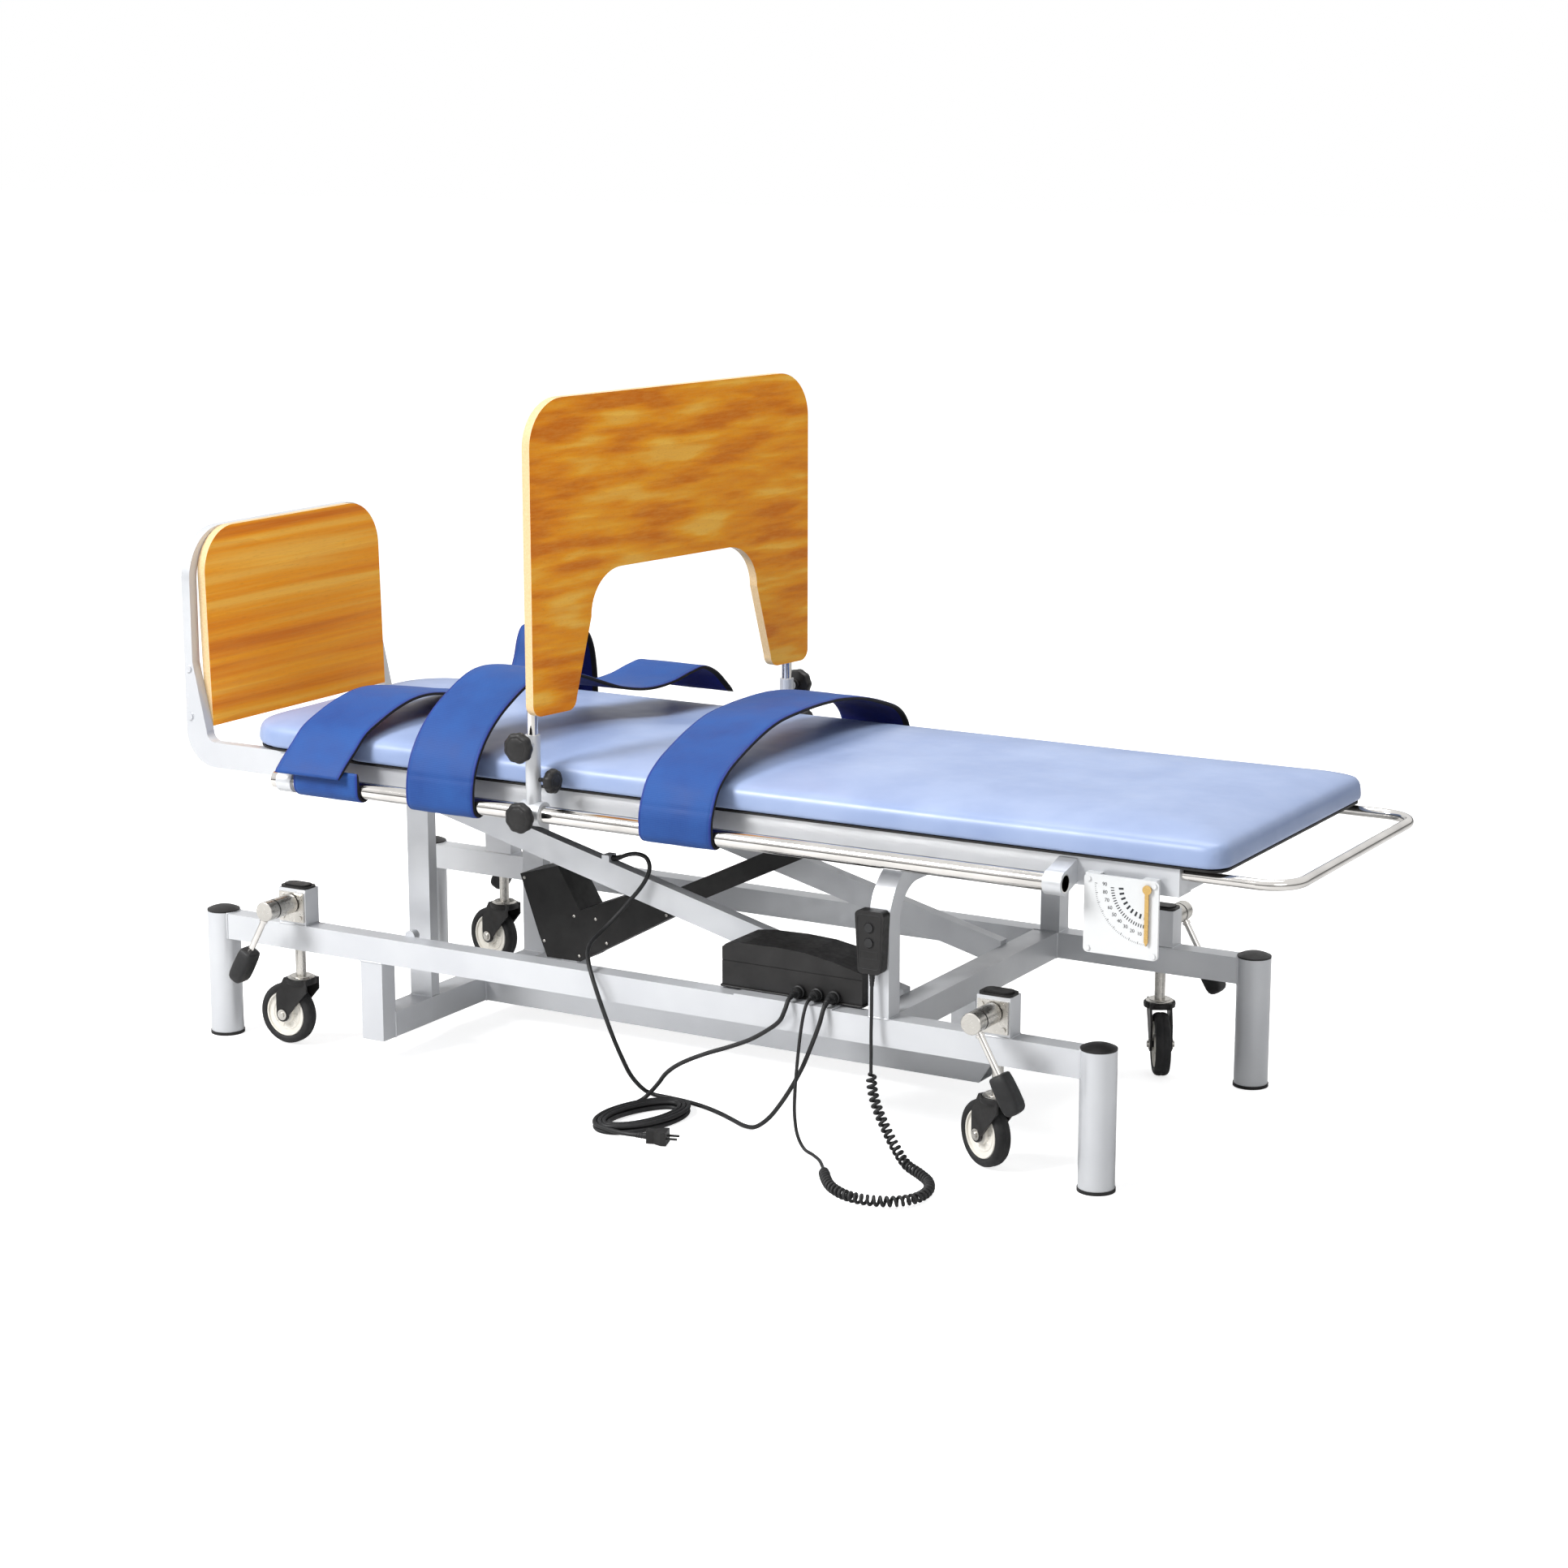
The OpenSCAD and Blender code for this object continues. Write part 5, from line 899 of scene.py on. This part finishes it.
# Angle dial: printed arc, ticks and plain degrees
DIAL_X, DIAL_Y, DIAL_Z = 0.914, -0.3381, 0.532  # the pointer's pivot on the plate's face
INK_DEPTH = 0.00015
TICK_R, DIGIT_R = 0.096, 0.078


def dial_ticks():
    verts, faces = [], []

    def bar(angle, r0, r1, w):
        """Flat bar from one radius to another, at an angle from straight down."""
        a = math.radians(angle)
        d, e = Vector((-math.sin(a), 0, -math.cos(a))), Vector((-math.cos(a), 0, math.sin(a)))
        b = len(verts)
        for depth in (0, -INK_DEPTH):
            for r, k in ((r0, -w / 2), (r0, w / 2), (r1, w / 2), (r1, -w / 2)):
                verts.append(Vector((DIAL_X, DIAL_Y + depth, DIAL_Z)) + d * r + e * k)
        faces.extend([(b + 4, b + 5, b + 6, b + 7), (b, b + 1, b + 5, b + 4), (b + 1, b + 2, b + 6, b + 5),
                      (b + 2, b + 3, b + 7, b + 6), (b + 3, b, b + 4, b + 7)])

    for deg in range(0, 91, 2):
        long, wide = (0.009, 0.0008) if deg % 10 == 0 else (0.005, 0.0005)
        bar(deg, TICK_R - long / 2, TICK_R, wide)
    for deg in range(2, 90, 4):
        bar(deg, 0.061, 0.067, 0.0016)
    for deg in range(5, 86, 10):
        bar(deg, 0.044, 0.0525, 0.0034)
    put(add("dial_ticks", verts, faces, "ink", False), "bed", "white_plate")


def dial_digits():
    bm = bmesh.new()
    for deg in range(0, 91, 10):
        curve = bpy.data.curves.new("digits", "FONT")
        curve.body = str(deg)
        curve.size = 0.0085
        curve.align_x, curve.align_y = "CENTER", "CENTER"
        curve.extrude = 0.0001
        a = math.radians(deg)
        t = new_object("digits", curve)
        t.location = (DIAL_X - DIGIT_R * math.sin(a), DIAL_Y - 0.0001, DIAL_Z - DIGIT_R * math.cos(a))
        t.rotation_euler = (math.pi / 2, 0, 0)
        bpy.context.view_layer.update()
        mesh = bpy.data.meshes.new_from_object(t)
        mesh.transform(t.matrix_world)
        bm.from_mesh(mesh)
        bpy.data.objects.remove(t)
    mesh = bpy.data.meshes.new("dial_digits")
    bm.to_mesh(mesh)
    bm.free()
    mesh.materials.append(M["ink"])
    put(new_object("dial_digits", mesh), "bed", "white_plate")


dial_ticks()
dial_digits()


# Screws, weld beads and other small metal and plastic details
def screws(name, body, mat, places, r, h, hexed=False):
    """Domed cross-head or hexagon screws, each standing on its place along its direction."""
    seg = 6 if hexed else 20
    rows = [(r, 0), (r, h * 0.45), (r * 0.86, h * 0.8), (r * 0.5, h), (r * 0.34, h * 0.55)]
    if hexed:
        rows = [(r, 0), (r, h * 0.9), (r * 0.9, h), (r * 0.5, h), (r * 0.42, h * 0.6)]
    verts, faces = [], []
    for pos, direction in places:
        at = frame_at(pos, direction)
        b = len(verts)
        for q, z in rows:
            verts += [at @ Vector((q * c, q * s, z)) for c, s in unit_circle(seg)]
        for low in range(b, b + (len(rows) - 1) * seg, seg):
            faces += [(low + j, low + (j + 1) % seg, low + seg + (j + 1) % seg, low + seg + j)
                      for j in range(seg)]
        faces.append(tuple(b + (len(rows) - 1) * seg + j for j in range(seg)))
    o = add(name, verts, faces, mat, False)
    crease(o, 40)
    put(o, body, mat)


def beads(name, body, loops, r=0.0019):
    """Rippled weld beads along closed lines."""
    bm = bmesh.new()
    for loop in loops:
        pts = respace([Vector(p) for p in loop + loop[:1]], 0.0024)[:-1]
        n, seg, a = len(pts), 8, Vector((0.3, 0.2, 0.9))
        rings = []
        for i, p in enumerate(pts):
            t = (pts[(i + 1) % n] - pts[i - 1]).normalized()
            a = (a - a.dot(t) * t).normalized()
            q = r * (0.88 + 0.16 * (i % 2) + 0.12 * noise.noise(p * 130))
            rings.append([bm.verts.new(p + q * d) for d in circle(seg, a, t.cross(a))])
        for i in range(n):
            u, v = rings[i], rings[(i + 1) % n]
            shift = min(range(seg), key=lambda k: (u[0].co - v[k].co).length) if i == n - 1 else 0
            for j in range(seg):
                bm.faces.new((u[j], u[(j + 1) % seg], v[(j + 1 + shift) % seg], v[(j + shift) % seg]))
    mesh = bpy.data.meshes.new(name)
    bm.to_mesh(mesh)
    bm.free()
    mesh.materials.append(M["silver_paint"])
    mesh.shade_smooth()
    put(new_object(name, mesh), body, "silver_paint")


def rect(axis, at, c1, c2, w, h):
    """Corners of a rectangle of half sizes w and h about (c1, c2), square to an axis at a place."""
    k = "xyz".index(axis)
    corners = [[c1 + a * w, c2 + b * h] for a, b in ((-1, -1), (1, -1), (1, 1), (-1, 1))]
    return [c[:k] + [at] + c[k:] for c in corners]


# Weld lines, where the tubes of the base and of the bed meet
HALF, RAIL_HALF = 0.025, 0.02  # half of a 50 mm tube and of a rail's width
RAIL_LOW, RAIL_TOP = 0.197, 0.247
STAND_X, CROSS_X, HOOP_X = -0.674, 0.415, 0.424  # tilt stands, cross frame and head hoop
STAND_Y, STAND_HALF = 0.1935, 0.0125
BEAM_TOP = 0.093  # of the low beams on the stands and the cross frame
SOCKET_HALF = 0.032  # of a caster's socket
LEGS = [(-1.048, 1), (0.834, -1)]  # place, and the way the rail runs from it
LEG_R = 0.03175
SADDLE = [-0.02, -0.0133, -0.0067, 0, 0.0067, 0.0133, 0.02]  # across a rail that meets a round leg
BED_CROSS_X = [-0.882, -0.674, 0.2, 0.424, 0.932]
BED_IN_Y, BED_OUT_Y, BED_TUBE_Z = 0.268, 0.3181, 0.545  # faces and middle of the bed's long tubes
base_loops = []
for s in (-1, 1):
    inner = s * (RAIL_Y - RAIL_HALF)
    base_loops += [
        rect("z", BEAM_TOP, STAND_X, s * STAND_Y, HALF, STAND_HALF),
        rect("z", RAIL_LOW, STAND_X, s * RAIL_Y, HALF, RAIL_HALF),
        rect("y", inner, CROSS_X, RAIL_TOP - HALF, HALF, HALF),
        rect("y", inner, STAND_X, BEAM_TOP - HALF, HALF, HALF),
        rect("z", RAIL_TOP, HOOP_X, s * RAIL_Y, RAIL_HALF, RAIL_HALF)]
    for x in (FOOT_CASTER_X, HEAD_CASTER_X):
        base_loops.append(rect("z", RAIL_TOP, x, s * RAIL_Y, SOCKET_HALF, RAIL_HALF))
    for leg_x, way in LEGS:
        edge = [(leg_x + way * math.sqrt(LEG_R**2 - q * q), s * RAIL_Y + q) for q in SADDLE]
        base_loops.append([(x, y, RAIL_LOW) for x, y in edge] + [(x, y, RAIL_TOP) for x, y in edge[::-1]])
base_loops += [
    rect("z", BEAM_TOP, CROSS_X, 0, HALF, RAIL_HALF), rect("z", RAIL_LOW, CROSS_X, 0, HALF, RAIL_HALF),
    rect("x", STAND_X + HALF, 0, BEAM_TOP - HALF, HALF, HALF)]
bed_loops = [rect("y", s * BED_IN_Y, x, BED_TUBE_Z, HALF, HALF) for x in BED_CROSS_X for s in (-1, 1)]
beads("base_welds", "base", base_loops)
beads("bed_welds", "bed", bed_loops, 0.0016)

COVER_SCREWS = [(-0.541, 0.311), (-0.425, 0.248), (-0.375, 0.248), (-0.213, 0.277), (-0.35, 0.203),
                (-0.496, 0.189), (-0.414, 0.169)]
screws("cover_screws", "actuator_body", "zinc",
       [((x, s * 0.0401, z), (0, s, 0)) for x, z in COVER_SCREWS for s in (-1, 1)], 0.0032, 0.0016)
screws("leg_frame_bolts", "bed", "zinc",
       [((x, s * BED_OUT_Y, BED_TUBE_Z), (0, s, 0)) for x in (-0.902, -0.872) for s in (-1, 1)],
       0.0065, 0.004, True)


# Handset face and control box trim
HANDSET_X, HANDSET_Y, HANDSET_Z, HANDSET_H = 0.419, -0.3888, 0.331, 0.112  # middle, face, foot, height
BOX_FACE_Y, SOCKET_Z = -0.3302, 0.262
BOOT = [(0.0052, 0), (0.0118, 0), (0.0122, 0.0012), (0.0122, 0.006), (0.0108, 0.0072), (0.01, 0.0074),
        (0.0096, 0.015), (0.0084, 0.0172), (0.0052, 0.0172)]
LIP = [(0.0088, 0), (0.0092, 0.0006), (0.0102, 0.0006), (0.0106, 0)]


def ring_line(name, corners, r, mat, cut):
    """A thin bead round a rectangle whose corners are rounded over the length cut."""
    pts = []
    for i in range(4):
        a, p, b = (Vector(corners[(i + k) % 4]) for k in (-1, 0, 1))
        u, v = (a - p).normalized() * cut, (b - p).normalized() * cut
        for k in range(7):
            f = k / 6
            pts.append((1 - f) ** 2 * (p + u) + 2 * f * (1 - f) * p + f * f * (p + v))
    line = respace(pts + pts[:1], 0.0012)
    put(sleeve(name, line, [r] * len(line), mat, 8), "base", "black_plastic")


for n, x in enumerate((0.24816, 0.285, 0.31966)):
    at = frame_at((x, BOX_FACE_Y, SOCKET_Z), (0, -1, 0))
    put(lathe("socket_boot_%d" % n, BOOT, at, "soft_plastic", 40), "base", "black_plastic")
bezel = [(0.3985, 0.34), (0.4395, 0.34), (0.4425, 0.436), (0.3955, 0.436)]
ring_line("handset_bezel", [(x, HANDSET_Y, z) for x, z in bezel], 0.0007, "soft_plastic", 0.008)
divider = rect("y", HANDSET_Y, HANDSET_X, 0.365, 0.017, 0.0065)
ring_line("handset_divider", divider, 0.0005, "soft_plastic", 0.003)
for z in (HANDSET_Z + 0.74 * HANDSET_H, HANDSET_Z + 0.5 * HANDSET_H):
    at = frame_at((HANDSET_X, HANDSET_Y - 0.0001, z), (0, -1, 0))
    put(lathe("button_lip_%d" % round(z * 1000), LIP, at, "soft_plastic", 40), "base", "black_plastic")
box_rim = rect("z", 0.252, 0.231, -0.2745, 0.1455, 0.058)
ring_line("box_base_rim", box_rim, 0.0018, "black_plastic", 0.005)


# Floor, world and soft lights
FLOOR_HALF, FLOOR_Z, FLOOR_GLOW = 40, -0.0006, 0.74


def stage_floor():
    """Pale floor that a camera ray sees a little brighter, so that only the shadows show."""
    m = M["floor"] = bpy.data.materials.new("floor")
    m.use_nodes = True
    t = m.node_tree
    t.nodes.clear()
    diffuse = new_node(t, "BsdfDiffuse", {"Color": (0.82, 0.82, 0.82, 1)})
    seen = new_node(t, "LightPath").outputs["Is Camera Ray"]
    share = new_node(t, "Math", {0: seen, 1: FLOOR_GLOW}, operation="MULTIPLY")
    glow = new_node(t, "Emission", {"Strength": share.outputs[0]})
    both = new_node(t, "AddShader", {0: diffuse.outputs[0], 1: glow.outputs[0]})
    new_node(t, "OutputMaterial", {"Surface": both.outputs[0]})
    corners = rect("z", FLOOR_Z, 0, 0, FLOOR_HALF, FLOOR_HALF)
    add("floor", corners, [(0, 1, 2, 3)], "floor", False)


def lamp(name, at, size, power):
    """Round area light that faces the table's middle."""
    light = bpy.data.lights.new(name, "AREA")
    light.shape = "DISK"
    light.size = size
    light.energy = power
    o = new_object(name, light)
    o.location = at
    o.rotation_euler = (Vector((0, 0, 0.5)) - Vector(at)).to_track_quat("-Z", "Y").to_euler()


stage_floor()
lamp("key", (-2.6, -4.2, 4.2), 2.2, 400)
lamp("fill", (4.5, -3.2, 2.4), 3.0, 30)
lamp("top", (0.3, 0.5, 4.6), 3.0, 120)

# The world is white to the camera and through glass; reflections see a sky with a dark horizon
world = bpy.data.worlds.new("world")
bpy.context.scene.world = world
world.use_nodes = True
wt = world.node_tree
back = wt.nodes["Background"]
back.inputs["Color"].default_value = (1, 1, 1, 1)
path = new_node(wt, "LightPath")
way = new_node(wt, "SeparateXYZ", {0: new_node(wt, "TexCoord").outputs["Generated"]})
height = new_node(wt, "MapRange", {"Value": way.outputs["Z"], "From Min": -1.0, "From Max": 1.0})
sky = colour_ramp(
    wt, height.outputs[0], [(0.0, 0.7), (0.43, 0.55), (0.47, 0.1), (0.53, 0.1), (0.57, 0.8), (0.75, 1.0)])
plain = new_node(wt, "Math", {0: path.outputs["Is Camera Ray"], 1: path.outputs["Is Transmission Ray"]},
                 operation="MAXIMUM")
AMBIENT = 0.36
soft = new_node(wt, "Mix", {0: path.outputs["Is Glossy Ray"], 2: AMBIENT, 3: sky})
level = new_node(wt, "Mix", {0: plain.outputs[0], 2: soft.outputs[0], 3: 1.0})
wt.links.new(level.outputs[0], back.inputs["Strength"])
